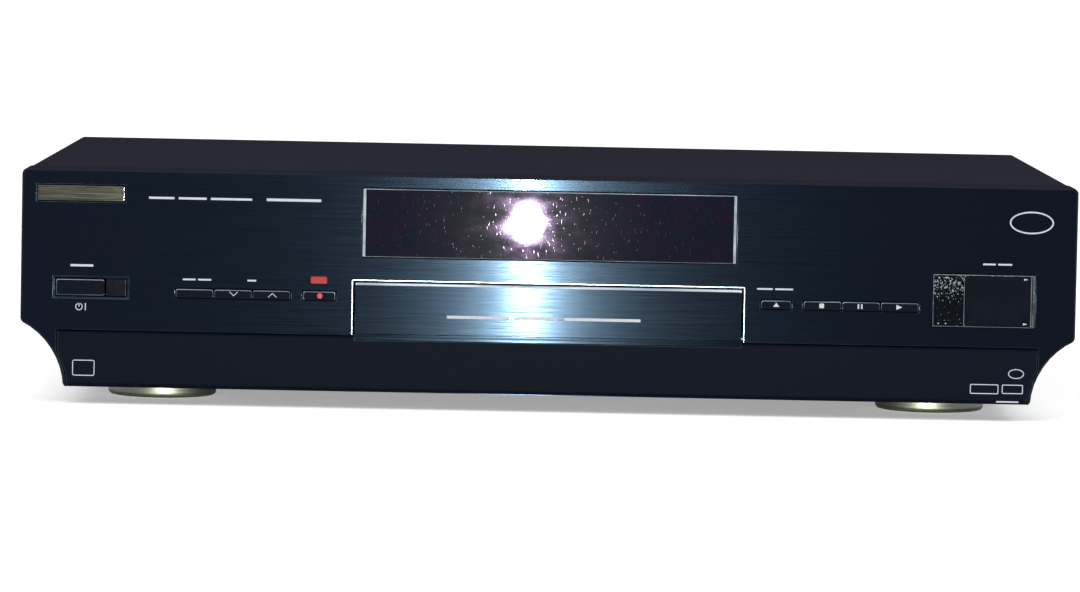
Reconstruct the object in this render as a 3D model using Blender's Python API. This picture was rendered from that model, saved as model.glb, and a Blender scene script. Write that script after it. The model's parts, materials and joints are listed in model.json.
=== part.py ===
"""DVD recorder with a hard disk, as a jointed assembly with one object for each physical piece.

Metres, +Z up. Seen from the front, +X is to the right and the front looks towards -Y.
The origin is on the surface that the feet stand on, under the centre of the overall box.
"""

import math

import bmesh
import bpy
from mathutils import Matrix, Vector

MM = 0.001
TURN = 2 * math.pi

# Driving dimensions
CASE_WIDTH = 430.0 * MM
FACE_HEIGHT = 89.0 * MM
FOOT_HEIGHT = 7.0 * MM
OVERALL_DEPTH = 340.0 * MM

# Clearances: pieces that touch, pieces that slide or turn, and how far a cutter runs past a surface
SEAT_GAP = 0.3 * MM
RUN_GAP = 0.4 * MM
OVERRUN = 1.0 * MM

# The face: keys, lenses and the tray door may stand this far before it
PROUD = 1.0 * MM

HALF_WIDTH = CASE_WIDTH / 2
FRONT_Y = -OVERALL_DEPTH / 2
REAR_Y = OVERALL_DEPTH / 2
FACE_Y = FRONT_Y + PROUD
BASE_Z = FOOT_HEIGHT
TOP_Z = FOOT_HEIGHT + FACE_HEIGHT

# Finishes: colour as linear red, green, blue, then roughness and metallic
FINISHES = {
    "brushed_face": ((0.006, 0.011, 0.020), 0.32, 0.6),
    "dark_moulding": ((0.010, 0.011, 0.016), 0.28, 0.0),
    "dark_steel": ((0.022, 0.022, 0.027), 0.42, 0.0),
    "black_plastic": ((0.010, 0.010, 0.012), 0.45, 0.0),
    "smoked_window": ((0.012, 0.006, 0.012), 0.06, 0.0),
    "display_glass": ((0.03, 0.02, 0.025), 0.08, 0.0),
    "clear_block": ((0.55, 0.58, 0.62), 0.05, 0.0),
    "satin_metal": ((0.62, 0.61, 0.58), 0.28, 1.0),
    "champagne_metal": ((0.60, 0.55, 0.42), 0.30, 1.0),
    "zinc_steel": ((0.55, 0.55, 0.54), 0.38, 1.0),
    "circuit_green": ((0.02, 0.12, 0.05), 0.5, 0.0),
    "grey_plastic": ((0.10, 0.10, 0.11), 0.5, 0.0),
    "white_plastic": ((0.75, 0.75, 0.72), 0.45, 0.0),
    "red_plastic": ((0.55, 0.02, 0.02), 0.4, 0.0),
    "yellow_plastic": ((0.75, 0.50, 0.03), 0.4, 0.0),
    "rubber": ((0.015, 0.015, 0.015), 0.8, 0.0),
    "cast_aluminium": ((0.45, 0.45, 0.46), 0.5, 1.0),
    "polished_steel": ((0.70, 0.70, 0.70), 0.15, 1.0),
    "ribbon_white": ((0.60, 0.62, 0.66), 0.5, 0.0),
}


def clear_scene():
    """Removes whatever the file holds."""
    for item in list(bpy.data.objects):
        bpy.data.objects.remove(item)


def material_of(finish):
    """The Principled material of one finish."""
    if finish in bpy.data.materials:
        return bpy.data.materials[finish]
    colour, roughness, metallic = FINISHES[finish]
    material = bpy.data.materials.new(finish)
    material.use_nodes = True
    shader = material.node_tree.nodes["Principled BSDF"]
    shader.inputs["Base Color"].default_value = (*colour, 1)
    shader.inputs["Roughness"].default_value = roughness
    shader.inputs["Metallic"].default_value = metallic
    return material


# Shapes are bmesh bodies in world coordinates until place() makes an object of one

FROM_Z = {
    "X": Matrix.Rotation(math.pi / 2, 4, "Y"),
    "Y": Matrix.Rotation(-math.pi / 2, 4, "X"),
    "Z": Matrix.Identity(4),
}


def box(low, high):
    """A block between two corners."""
    shape = bmesh.new()
    bmesh.ops.create_cube(shape, size=1)
    size = [b - a for a, b in zip(low, high)]
    centre = [(a + b) / 2 for a, b in zip(low, high)]
    bmesh.ops.scale(shape, vec=size, verts=shape.verts)
    bmesh.ops.translate(shape, vec=centre, verts=shape.verts)
    return shape


def rounded_corners(corners, steps):
    """Points of an outline whose corners, each (a, b, radius), are rounded."""
    points = []
    for index, (a, b, radius) in enumerate(corners):
        here = Vector((a, b))
        if radius == 0:
            points.append(here)
            continue
        back = (Vector(corners[index - 1][:2]) - here).normalized()
        ahead = (Vector(corners[(index + 1) % len(corners)][:2]) - here).normalized()
        half = back.angle(ahead) / 2
        centre = here + (back + ahead).normalized() * (radius / math.sin(half))
        start = here + back * (radius / math.tan(half)) - centre
        end = here + ahead * (radius / math.tan(half)) - centre
        sweep = start.angle_signed(end)
        for step in range(steps + 1):
            points.append(centre + Matrix.Rotation(-sweep * step / steps, 2) @ start)
    return [tuple(point) for point in points]


def rounded_rectangle(low, high, radius, steps):
    """A rectangle's outline between two corners, with round corners."""
    (a0, b0), (a1, b1) = low, high
    corners = [(a0, b0, radius), (a1, b0, radius), (a1, b1, radius), (a0, b1, radius)]
    return rounded_corners(corners, steps)


def prism(outline, along, start, end):
    """An outline in the two other axes, extruded along one axis from start to end."""
    index = "XYZ".index(along)
    shape = bmesh.new()
    corners = []
    for point in outline:
        place_at = list(point)
        place_at.insert(index, start)
        corners.append(shape.verts.new(place_at))
    face = shape.faces.new(corners)
    extruded = bmesh.ops.extrude_face_region(shape, geom=[face])
    moved = [item for item in extruded["geom"] if isinstance(item, bmesh.types.BMVert)]
    offset = Vector((0, 0, 0))
    offset[index] = end - start
    bmesh.ops.translate(shape, vec=offset, verts=moved)
    bmesh.ops.recalc_face_normals(shape, faces=shape.faces)
    return shape


def cylinder(start, along, length, radius, sides):
    """A round rod from a start point along an axis."""
    shape = bmesh.new()
    bmesh.ops.create_cone(
        shape, cap_ends=True, segments=sides, radius1=radius, radius2=radius, depth=length,
        matrix=Matrix.Translation(start) @ FROM_Z[along] @ Matrix.Translation((0, 0, length / 2)),
    )
    return shape


def turned(profile, centre, along, sides):
    """A profile of (radius, height) points, turned about an axis through the centre.

    The profile is a closed loop, or runs from the axis to the axis.
    """
    shape = bmesh.new()
    verts = [shape.verts.new((radius, 0, height)) for radius, height in profile]
    edges = [shape.edges.new(pair) for pair in zip(verts, verts[1:])]
    if profile[0][0] > 0:
        edges.append(shape.edges.new((verts[-1], verts[0])))
    bmesh.ops.spin(
        shape, geom=verts + edges, axis=(0, 0, 1), cent=(0, 0, 0), angle=TURN, steps=sides,
        use_merge=True,
    )
    bmesh.ops.remove_doubles(shape, verts=shape.verts, dist=0.001 * MM)
    bmesh.ops.transform(shape, matrix=Matrix.Translation(centre) @ FROM_Z[along], verts=shape.verts)
    bmesh.ops.recalc_face_normals(shape, faces=shape.faces)
    return shape


def mesh_of(shape):
    """A mesh of a shape, which is used up."""
    mesh = bpy.data.meshes.new("shape")
    shape.to_mesh(mesh)
    shape.free()
    return mesh


def together(shapes):
    """Shapes that don't meet, held as one so that one Boolean can use them all."""
    whole = bmesh.new()
    for shape in shapes:
        mesh = mesh_of(shape)
        whole.from_mesh(mesh)
        bpy.data.meshes.remove(mesh)
    return whole


def combined(shape, other, operation):
    """The exact Boolean of two shapes, which are both used up."""
    bodies = []
    for part in (shape, other):
        body = bpy.data.objects.new("body", mesh_of(part))
        bpy.context.collection.objects.link(body)
        bodies.append(body)
    modifier = bodies[0].modifiers.new("combine", "BOOLEAN")
    modifier.object = bodies[1]
    modifier.operation = operation
    evaluated = bodies[0].evaluated_get(bpy.context.evaluated_depsgraph_get())
    result = bmesh.new()
    result.from_mesh(evaluated.to_mesh())
    evaluated.to_mesh_clear()
    for body in bodies:
        mesh = body.data
        bpy.data.objects.remove(body)
        bpy.data.meshes.remove(mesh)
    return result


def united(shape, *others):
    """One body of shapes that overlap."""
    for other in others:
        shape = combined(shape, other, "UNION")
    return shape


def cut(shape, *tools):
    """A shape less each tool."""
    for tool in tools:
        shape = combined(shape, tool, "DIFFERENCE")
    return shape


def place(name, shape, finish, pivot=(0, 0, 0), parent=None):
    """Makes an object of a shape, with its origin at the pivot, its joint's point if it moves."""
    mesh = mesh_of(shape)
    mesh.name = name
    mesh.transform(Matrix.Translation(-Vector(pivot)))
    mesh.materials.append(material_of(finish))
    mesh.shade_smooth()
    mesh.set_sharp_from_angle(angle=math.radians(35))
    piece = bpy.data.objects.new(name, mesh)
    piece.location = Vector(pivot)
    if parent is not None:
        piece.parent = parent
        piece.location = Vector(pivot) - parent.location
    bpy.context.collection.objects.link(piece)
    return piece


def places_outward(start, room, shares):
    """Low and high ends of groups set side by side, from shares of the room: a gap, a group, and so on."""
    ends = []
    edge = start
    for gap, width in zip(shares[::2], shares[1::2]):
        low = edge + gap * room
        edge = low + width * room
        ends.append((low, edge))
    return ends


# Outline of the face: round upper corners, and a cove that draws in each lower corner

TOP_CORNER_RADIUS = 2.4 * MM
SHOULDER_RADIUS = 2.5 * MM
FOOT_CORNER_RADIUS = 1.8 * MM
COVE_RADIUS = 31.0 * MM
COVE_CENTRE_OUT = 13.2 * MM
COVE_CENTRE_DROP = 1.5 * MM
COVE_STEPS = 8
ROUND_STEPS = 4


def cove_arc(inset, side, floor):
    """Points of the +X cove from the floor up to the side, moved inwards by the inset."""
    centre = (HALF_WIDTH + COVE_CENTRE_OUT, BASE_Z - COVE_CENTRE_DROP)
    radius = COVE_RADIUS + inset
    low = math.pi - math.asin((floor - centre[1]) / radius)
    high = math.pi - math.acos((centre[0] - side) / radius)
    points = []
    for step in range(COVE_STEPS + 1):
        angle = low + (high - low) * step / COVE_STEPS
        points.append((centre[0] + radius * math.cos(angle), centre[1] + radius * math.sin(angle)))
    return points


def face_outline():
    """The face's outline in X and Z."""
    arc = cove_arc(0, HALF_WIDTH, BASE_Z)
    right = [(*arc[0], FOOT_CORNER_RADIUS)]
    right += [(*point, 0) for point in arc[1:-1]]
    right += [(*arc[-1], SHOULDER_RADIUS), (HALF_WIDTH, TOP_Z, TOP_CORNER_RADIUS)]
    left = [(-x, z, radius) for x, z, radius in reversed(right)]
    return rounded_corners(right + left, ROUND_STEPS)


# Front panel: a moulded frame with the face plate, the cheeks and the wall behind the flap

PANEL_DEPTH = 26.0 * MM
PANEL_WALL = 2.5 * MM
PLATE_THICKNESS = 3.0 * MM
FACE_EDGE_RADIUS = 0.8 * MM
LOWER_EDGE = 23.4 * MM
BACKING_THICKNESS = 2.0 * MM
FLOOR_THICKNESS = 2.0 * MM
BOARD_SETBACK = 11.0 * MM
BOSS_RADIUS = 2.5 * MM
UPPER_BOSS_RISE = 68.0 * MM
LOWER_BOSS_RISE = 30.0 * MM

# Flap
FLAP_SIDE_INSET = 15.2 * MM
FLAP_COVE_WALL = 1.6 * MM
FLAP_THICKNESS = 3.2 * MM
FLAP_RISE = 0.4 * MM
FLAP_NOTCH_DEPTH = 1.6 * MM
FLAP_EDGE_RADIUS = 1.4 * MM
FLAP_PIN_RADIUS = 0.9 * MM
FLAP_PIN_LENGTH = 0.8 * MM

# Tray door
DOOR_WIDTH = 157.7 * MM
DOOR_HEIGHT = 21.0 * MM
DOOR_THICKNESS = 4.0 * MM
DOOR_RISE = 23.9 * MM
DOOR_CORNER_RADIUS = 0.8 * MM
DOOR_GAP = 0.8 * MM

# Display window
WINDOW_WIDTH = 152.0 * MM
WINDOW_HEIGHT = 27.8 * MM
WINDOW_TOP_GAP = 5.7 * MM
WINDOW_END_BEVEL = 2.0 * MM
WINDOW_PROUD = 0.8 * MM
WINDOW_FLANGE = 2.5 * MM
WINDOW_FLANGE_THICKNESS = 1.5 * MM
TUBE_SIDE_INSET = 12.0 * MM
TUBE_INSET = 2.5 * MM

FLAP_HALF = HALF_WIDTH - FLAP_SIDE_INSET
FLAP_AXIS_Y = FACE_Y + FLAP_THICKNESS / 2
FLAP_AXIS_Z = BASE_Z + FLAP_RISE + FLAP_THICKNESS / 2
BACKING_Y = FACE_Y + FLAP_THICKNESS + RUN_GAP
LOWER_EDGE_Z = BASE_Z + LOWER_EDGE
BOARD_Y = FACE_Y + BOARD_SETBACK
DOOR_HALF = DOOR_WIDTH / 2
DOOR_BOTTOM_Z = BASE_Z + DOOR_RISE
DOOR_TOP_Z = DOOR_BOTTOM_Z + DOOR_HEIGHT
WINDOW_TOP_Z = TOP_Z - WINDOW_TOP_GAP
WINDOW_BOTTOM_Z = WINDOW_TOP_Z - WINDOW_HEIGHT
PLATE_BACK_Y = FACE_Y + PLATE_THICKNESS

# Keys: each row's height, rise above the face's bottom, and the widths from the tray door outwards
KEY_TRAVEL = 0.8 * MM
KEY_PROUD = 0.6 * MM
KEY_HEIGHT = 3.6 * MM
KEY_RISE = 37.4 * MM
KEY_CORNER_RADIUS = 0.6 * MM
KEY_FLANGE = 1.2 * MM
KEY_FLANGE_THICKNESS = 1.2 * MM
KEY_STEM = 3.0 * MM
SWITCH_HEIGHT = 3.0 * MM
KEY_SPACE = 0.4 * MM
ROW_KEYS = 3
POWER_ROOM_HEIGHT = 8.8 * MM
POWER_ROOM_RISE = 36.4 * MM
POWER_ROOM_DEPTH = 0.8 * MM
POWER_KEY_HEIGHT = 6.7 * MM
SLIP_HEIGHT = 21.3 * MM
SLIP_RISE = 31.7 * MM
SLIP_RIM = 0.8 * MM

# Shares of the room from the tray door to the panel's edge: a gap and a group, three times outwards.
# At the left the groups are the record key, the row of keys and the power key's room, and at the
# right the open and close key, the row of keys and the time slip block.
LEFT_GROUP_SHARES = (0.0577, 0.0984, 0.0367, 0.3430, 0.1410, 0.2255)
RIGHT_GROUP_SHARES = (0.0577, 0.0896, 0.0375, 0.3437, 0.0426, 0.3048)

# Shares of the power key's room, without the gap, and of the time slip block
POWER_KEY_SHARE = 0.712
SLIP_GUIDE_SHARE = 0.31
SENSOR_GAP = 0.8 * MM

SIDE_ROOM = HALF_WIDTH - DOOR_HALF
LEFT_GROUPS = places_outward(DOOR_HALF, SIDE_ROOM, LEFT_GROUP_SHARES)
RIGHT_GROUPS = places_outward(DOOR_HALF, SIDE_ROOM, RIGHT_GROUP_SHARES)
KEY_BOTTOM_Z = BASE_Z + KEY_RISE
KEY_TOP_Z = KEY_BOTTOM_Z + KEY_HEIGHT
POWER_ROOM_Z = BASE_Z + POWER_ROOM_RISE
SLIP_Z = BASE_Z + SLIP_RISE


def row_of_keys(low, high):
    """The ends of the keys in a row that share one slot."""
    width = (high - low - (ROW_KEYS - 1) * KEY_SPACE) / ROW_KEYS
    return [(low + index * (width + KEY_SPACE), low + index * (width + KEY_SPACE) + width)
            for index in range(ROW_KEYS)]


def key_places():
    """Each key's name with its low and high corners in X and Z."""
    record, left_row, power_room = [(-high, -low) for low, high in LEFT_GROUPS]
    opener, right_row, slip = RIGHT_GROUPS
    places = {}
    names = ("rec_mode_key", "channel_down_key", "channel_up_key")
    for name, ends in zip(names, row_of_keys(*left_row)):
        places[name] = ((ends[0], KEY_BOTTOM_Z), (ends[1], KEY_TOP_Z))
    for name, ends in zip(("stop_key", "pause_key", "play_key"), row_of_keys(*right_row)):
        places[name] = ((ends[0], KEY_BOTTOM_Z), (ends[1], KEY_TOP_Z))
    places["record_key"] = ((record[0], KEY_BOTTOM_Z), (record[1], KEY_TOP_Z))
    places["open_close_key"] = ((opener[0], KEY_BOTTOM_Z), (opener[1], KEY_TOP_Z))
    margin = (POWER_ROOM_HEIGHT - POWER_KEY_HEIGHT) / 2
    low_z, top_z = POWER_ROOM_Z + margin, POWER_ROOM_Z + margin + POWER_KEY_HEIGHT
    left_x, right_x = power_room[0] + margin, power_room[1] - margin
    key_right = left_x + POWER_KEY_SHARE * (right_x - left_x - SENSOR_GAP)
    places["power_key"] = ((left_x, low_z), (key_right, top_z))
    places["sensor"] = ((key_right + SENSOR_GAP, low_z), (right_x, top_z))
    places["power_room"] = (
        (power_room[0], POWER_ROOM_Z), (power_room[1], POWER_ROOM_Z + POWER_ROOM_HEIGHT))
    places["slip"] = ((slip[0], SLIP_Z), (slip[1], SLIP_Z + SLIP_HEIGHT))
    guide = SLIP_GUIDE_SHARE * (slip[1] - slip[0])
    places["time_slip_key"] = (
        (slip[0] + guide + KEY_SPACE, SLIP_Z + SLIP_RIM + KEY_SPACE),
        (slip[1] - SLIP_RIM - KEY_SPACE, SLIP_Z + SLIP_HEIGHT - SLIP_RIM - KEY_SPACE))
    return places


KEYS = key_places()


def grown(corners, by):
    """Low and high corners moved outwards."""
    (a0, b0), (a1, b1) = corners
    return (a0 - by, b0 - by), (a1 + by, b1 + by)


def slab(corners, front, back):
    """A block between corners in X and Z, from front to back in Y."""
    (x0, z0), (x1, z1) = corners
    return box((x0, front, z0), (x1, back, z1))


def flap_side(height):
    """The flap's half width at a height, where it follows the cove."""
    drop = height - BASE_Z + COVE_CENTRE_DROP
    return HALF_WIDTH + COVE_CENTRE_OUT - math.sqrt((COVE_RADIUS + FLAP_COVE_WALL) ** 2 - drop ** 2)


def flap_outline(margin, floor, top):
    """The flap's outline in X and Z, a margin larger: upright sides that draw in along the cove."""
    right = cove_arc(FLAP_COVE_WALL - margin, FLAP_HALF + margin, floor) + [(FLAP_HALF + margin, top)]
    return [(-x, z) for x, z in reversed(right)] + right


def board_bosses():
    """Where the front board's bosses stand, in X and Z."""
    outer = HALF_WIDTH - PANEL_WALL - 4 * BOSS_RADIUS
    inner = DOOR_HALF + 6 * BOSS_RADIUS
    upper = BASE_Z + UPPER_BOSS_RISE
    lower = BASE_Z + LOWER_BOSS_RISE
    return [(-outer, upper), (-inner, upper), (inner, upper), (outer, upper), (-inner, lower), (inner, lower)]


# Badge: a bare raised plate in a shallow pocket
BADGE_WIDTH = 35.7 * MM
BADGE_HEIGHT = 6.3 * MM
BADGE_SIDE_INSET = 6.3 * MM
BADGE_TOP_GAP = 6.7 * MM
BADGE_THICKNESS = 0.9 * MM
BADGE_POCKET = 0.6 * MM

BADGE_LEFT = -HALF_WIDTH + BADGE_SIDE_INSET
BADGE_CORNERS = (
    (BADGE_LEFT, TOP_Z - BADGE_TOP_GAP - BADGE_HEIGHT),
    (BADGE_LEFT + BADGE_WIDTH, TOP_Z - BADGE_TOP_GAP))


def panel_body():
    """The front panel's frame before its openings are cut."""
    shape = prism(face_outline(), "Y", FACE_Y, FACE_Y + PANEL_DEPTH)
    front = [edge for edge in shape.edges
             if all(abs(vert.co.y - FACE_Y) < SEAT_GAP for vert in edge.verts)]
    bmesh.ops.bevel(shape, geom=front, offset=FACE_EDGE_RADIUS, segments=2, profile=0.5,
                    affect="EDGES", clamp_overlap=True)
    rear = FACE_Y + PANEL_DEPTH + OVERRUN
    shoulder = LOWER_EDGE_Z + PLATE_THICKNESS
    inner_half = HALF_WIDTH - PANEL_WALL
    upper_room = box((-inner_half, PLATE_BACK_Y, shoulder), (inner_half, rear, TOP_Z - PANEL_WALL))
    lower_half = flap_side(BASE_Z) - BACKING_THICKNESS
    lower_room = box((-lower_half, BACKING_Y + BACKING_THICKNESS, BASE_Z + FLOOR_THICKNESS),
                     (lower_half, rear, shoulder + OVERRUN))
    flap_bay = prism(flap_outline(RUN_GAP, BASE_Z - OVERRUN, LOWER_EDGE_Z), "Y", FACE_Y - OVERRUN, BACKING_Y)
    shape = cut(shape, upper_room, lower_room, flap_bay)
    bosses = [cylinder((x, PLATE_BACK_Y - OVERRUN, z), "Y", BOARD_Y - SEAT_GAP - PLATE_BACK_Y + OVERRUN,
                       BOSS_RADIUS, 10) for x, z in board_bosses()]
    return united(shape, together(bosses))


def make_front_panel():
    """The moulded panel with its openings for the window, the tray, the keys and the jacks."""
    shape = panel_body()
    back = BACKING_Y + BACKING_THICKNESS + OVERRUN
    window = slab(((-WINDOW_WIDTH / 2 - SEAT_GAP, WINDOW_BOTTOM_Z - SEAT_GAP),
                   (WINDOW_WIDTH / 2 + SEAT_GAP, WINDOW_TOP_Z + SEAT_GAP)), FACE_Y - OVERRUN, back)
    door_half = DOOR_HALF + DOOR_GAP
    door = slab(((-door_half, LOWER_EDGE_Z - OVERRUN), (door_half, DOOR_TOP_Z + DOOR_GAP)),
                FACE_Y - OVERRUN, PLATE_BACK_Y + OVERRUN)
    passage = slab(((-door_half, TRAY_Z - RACK_HEIGHT - RUN_GAP), (door_half, DOOR_TOP_Z)), FACE_Y, back)
    power_room = slab(KEYS["power_room"], FACE_Y - OVERRUN, FACE_Y + POWER_ROOM_DEPTH)
    holes = [slab(grown(KEYS["slip"], SEAT_GAP), FACE_Y - OVERRUN, back)]
    for name in ("power_key", "sensor", "record_key", "open_close_key"):
        holes.append(slab(grown(KEYS[name], SEAT_GAP), FACE_Y - OVERRUN, back))
    for first, last in (("rec_mode_key", "channel_up_key"), ("stop_key", "play_key")):
        slot = (KEYS[first][0], KEYS[last][1])
        holes.append(slab(grown(slot, SEAT_GAP), FACE_Y - OVERRUN, back))
    jack_bay = box((JACK_BAY_LEFT, FACE_Y, JACK_BAY_FLOOR_Z), (JACK_BAY_RIGHT, back, JACK_BAY_TOP_Z))
    pin_end = flap_side(FLAP_AXIS_Z) + FLAP_PIN_LENGTH + SEAT_GAP
    pin_holes = cylinder((-pin_end, FLAP_AXIS_Y, FLAP_AXIS_Z), "X", 2 * pin_end,
                         FLAP_PIN_RADIUS + SEAT_GAP, 12)
    badge = slab(grown(BADGE_CORNERS, SEAT_GAP), FACE_Y - OVERRUN, FACE_Y + BADGE_POCKET)
    shape = cut(shape, door, passage, power_room, together([window, *holes, jack_bay, badge]), pin_holes)
    place("front_panel", shape, "brushed_face")


def jack_centres():
    """Where each front jack sits along X."""
    return [JACK_BAY_LEFT + share * (JACK_BAY_RIGHT - JACK_BAY_LEFT) for share in JACK_PLACE_SHARES]


def make_front_jack_panel():
    """The tub behind the flap that holds the sockets."""
    inner = ((JACK_BAY_LEFT, JACK_BAY_FLOOR_Z), (JACK_BAY_RIGHT, JACK_BAY_TOP_Z))
    flange = slab(grown(inner, JACK_TUB_FLANGE), TUB_FRONT_Y, TUB_FRONT_Y + JACK_TUB_WALL)
    tub = slab(grown(inner, JACK_TUB_WALL), TUB_FRONT_Y + JACK_TUB_WALL / 2, TUB_BACK_Y + JACK_TUB_WALL)
    shape = united(flange, tub)
    shape = cut(shape, slab(inner, TUB_FRONT_Y - OVERRUN, TUB_BACK_Y))
    bores = []
    for index, x in enumerate(jack_centres()):
        radius = S_VIDEO_RADIUS if index == 0 else JACK_SHELL_RADIUS
        bores.append(cylinder((x, TUB_BACK_Y - OVERRUN, JACK_BAY_MID_Z), "Y", JACK_TUB_WALL + 2 * OVERRUN,
                              radius + SEAT_GAP, 16))
    place("front_jack_panel", cut(shape, together(bores)), "black_plastic")


def make_front_jacks():
    """One S-video socket and three round jacks, each with its body behind the tub."""
    names = ("front_s_video_socket", "front_video_jack", "front_audio_left_jack", "front_audio_right_jack")
    finishes = ("black_plastic", "yellow_plastic", "white_plastic", "red_plastic")
    behind = TUB_BACK_Y + JACK_TUB_WALL + SEAT_GAP
    for index, (name, finish, x) in enumerate(zip(names, finishes, jack_centres())):
        radius, bore = JACK_SHELL_RADIUS, JACK_BORE_RADIUS
        front = TUB_BACK_Y - JACK_SHELL_LENGTH
        depth = JACK_SHELL_LENGTH
        half = JACK_BODY_SIZE / 2
        if index == 0:
            radius, bore = S_VIDEO_RADIUS, S_VIDEO_BORE_RADIUS
            front = TUB_BACK_Y - S_VIDEO_BORE_DEPTH / 3
            depth = S_VIDEO_BORE_DEPTH
            half = S_VIDEO_RADIUS
        shell = cylinder((x, front, JACK_BAY_MID_Z), "Y", behind + OVERRUN - front, radius, 16)
        body = box((x - half, behind, JACK_BAY_MID_Z - half),
                   (x + half, behind + JACK_BODY_DEPTH, JACK_BAY_MID_Z + half))
        hole = cylinder((x, front - OVERRUN, JACK_BAY_MID_Z), "Y", depth + OVERRUN, bore, 12)
        place(name, cut(united(body, shell), hole), finish)


def make_front_flap():
    """The flap along the lower front, hinged on pins at its lower corners."""
    low = FLAP_AXIS_Z
    top = LOWER_EDGE_Z - RUN_GAP
    radius = FLAP_THICKNESS / 2
    points = []
    for step in range(ROUND_STEPS * 2 + 1):
        angle = math.pi * step / (ROUND_STEPS * 2)
        points.append((FLAP_AXIS_Y + radius * math.cos(angle), low - radius * math.sin(angle)))
    for step in range(ROUND_STEPS + 1):
        angle = math.pi / 2 * step / ROUND_STEPS
        points.append((FACE_Y + FLAP_EDGE_RADIUS * (1 - math.cos(angle)),
                       top - FLAP_EDGE_RADIUS * (1 - math.sin(angle))))
    points.append((FACE_Y + FLAP_THICKNESS, top))
    shape = prism(points, "X", -FLAP_HALF, FLAP_HALF)
    outline = flap_outline(0, BASE_Z, top + OVERRUN)
    shape = combined(shape, prism(outline, "Y", FACE_Y - OVERRUN, BACKING_Y), "INTERSECT")
    notch = slab(((-DOOR_HALF, top - FLAP_NOTCH_DEPTH), (DOOR_HALF, top + OVERRUN)),
                 FACE_Y - OVERRUN, BACKING_Y)
    pin_end = flap_side(FLAP_AXIS_Z) + FLAP_PIN_LENGTH
    length = FLAP_PIN_LENGTH + OVERRUN
    pins = [cylinder((start, FLAP_AXIS_Y, FLAP_AXIS_Z), "X", length, FLAP_PIN_RADIUS, 10)
            for start in (-pin_end, pin_end - length)]
    shape = united(cut(shape, notch), together(pins))
    place("front_flap", shape, "dark_moulding", pivot=(0, FLAP_AXIS_Y, FLAP_AXIS_Z))


def window_outline(half, front, back):
    """The window block's outline in X and Y, with its two polished end bevels."""
    return [(-half, back), (-half, front + WINDOW_END_BEVEL / 2), (-half + WINDOW_END_BEVEL, front),
            (half - WINDOW_END_BEVEL, front), (half, front + WINDOW_END_BEVEL / 2), (half, back)]


def make_display():
    """The smoked window in the face, and the display tube behind it."""
    half = WINDOW_WIDTH / 2
    flange_front = PLATE_BACK_Y + SEAT_GAP
    flange_back = flange_front + WINDOW_FLANGE_THICKNESS
    shape = prism(window_outline(half, FACE_Y - WINDOW_PROUD, flange_front + OVERRUN), "Z",
                  WINDOW_BOTTOM_Z, WINDOW_TOP_Z)
    flange = slab(grown(((-half, WINDOW_BOTTOM_Z), (half, WINDOW_TOP_Z)), WINDOW_FLANGE),
                  flange_front, flange_back)
    place("display_window", united(flange, shape), "smoked_window")
    tube = slab(((-half + TUBE_SIDE_INSET, WINDOW_BOTTOM_Z + TUBE_INSET),
                 (half - TUBE_SIDE_INSET, WINDOW_TOP_Z - TUBE_INSET)),
                flange_back + SEAT_GAP, BOARD_Y - SEAT_GAP)
    place("display_tube", tube, "display_glass")


# Board behind the face, which carries the display tube and the switches
BOARD_THICKNESS = 1.6 * MM
BOARD_SIDE_GAP = 6.0 * MM
BOARD_BOTTOM_RISE = 27.0 * MM
BOARD_TOP_GAP = 5.0 * MM
SWITCH_SIZE = 5.0 * MM
SENSOR_CAN_SIZE = 5.6 * MM
KEY_NAMES = ("power_key", "rec_mode_key", "channel_down_key", "channel_up_key", "record_key",
             "open_close_key", "stop_key", "pause_key", "play_key", "time_slip_key")


BOARD_HALF = HALF_WIDTH - PANEL_WALL - BOARD_SIDE_GAP


def key_middle(name):
    """The middle of a key in X and Z."""
    (x0, z0), (x1, z1) = KEYS[name]
    return (x0 + x1) / 2, (z0 + z1) / 2


def make_front_board():
    """The upright board with a switch behind each key and a gap for the tray."""
    shape = box((-BOARD_HALF, BOARD_Y, BASE_Z + BOARD_BOTTOM_RISE),
                (BOARD_HALF, BOARD_Y + BOARD_THICKNESS, TOP_Z - BOARD_TOP_GAP))
    half = DOOR_HALF + PANEL_WALL
    gap = box((-half, BOARD_Y - OVERRUN, BASE_Z), (half, BOARD_Y + BOARD_THICKNESS + OVERRUN,
                                                   DOOR_TOP_Z + PANEL_WALL))
    switches = []
    for name in KEY_NAMES:
        x, z = key_middle(name)
        switches.append(box((x - SWITCH_SIZE / 2, BOARD_Y - SWITCH_HEIGHT, z - SWITCH_SIZE / 2),
                            (x + SWITCH_SIZE / 2, BOARD_Y + BOARD_THICKNESS / 2, z + SWITCH_SIZE / 2)))
    x, z = key_middle("sensor")
    can = SENSOR_CAN_SIZE / 2
    switches.append(box((x - can, PLATE_BACK_Y + KEY_TRAVEL, z - can),
                        (x + can, BOARD_Y + BOARD_THICKNESS / 2, z + can)))
    place("front_board", united(cut(shape, gap), together(switches)), "circuit_green")


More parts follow.
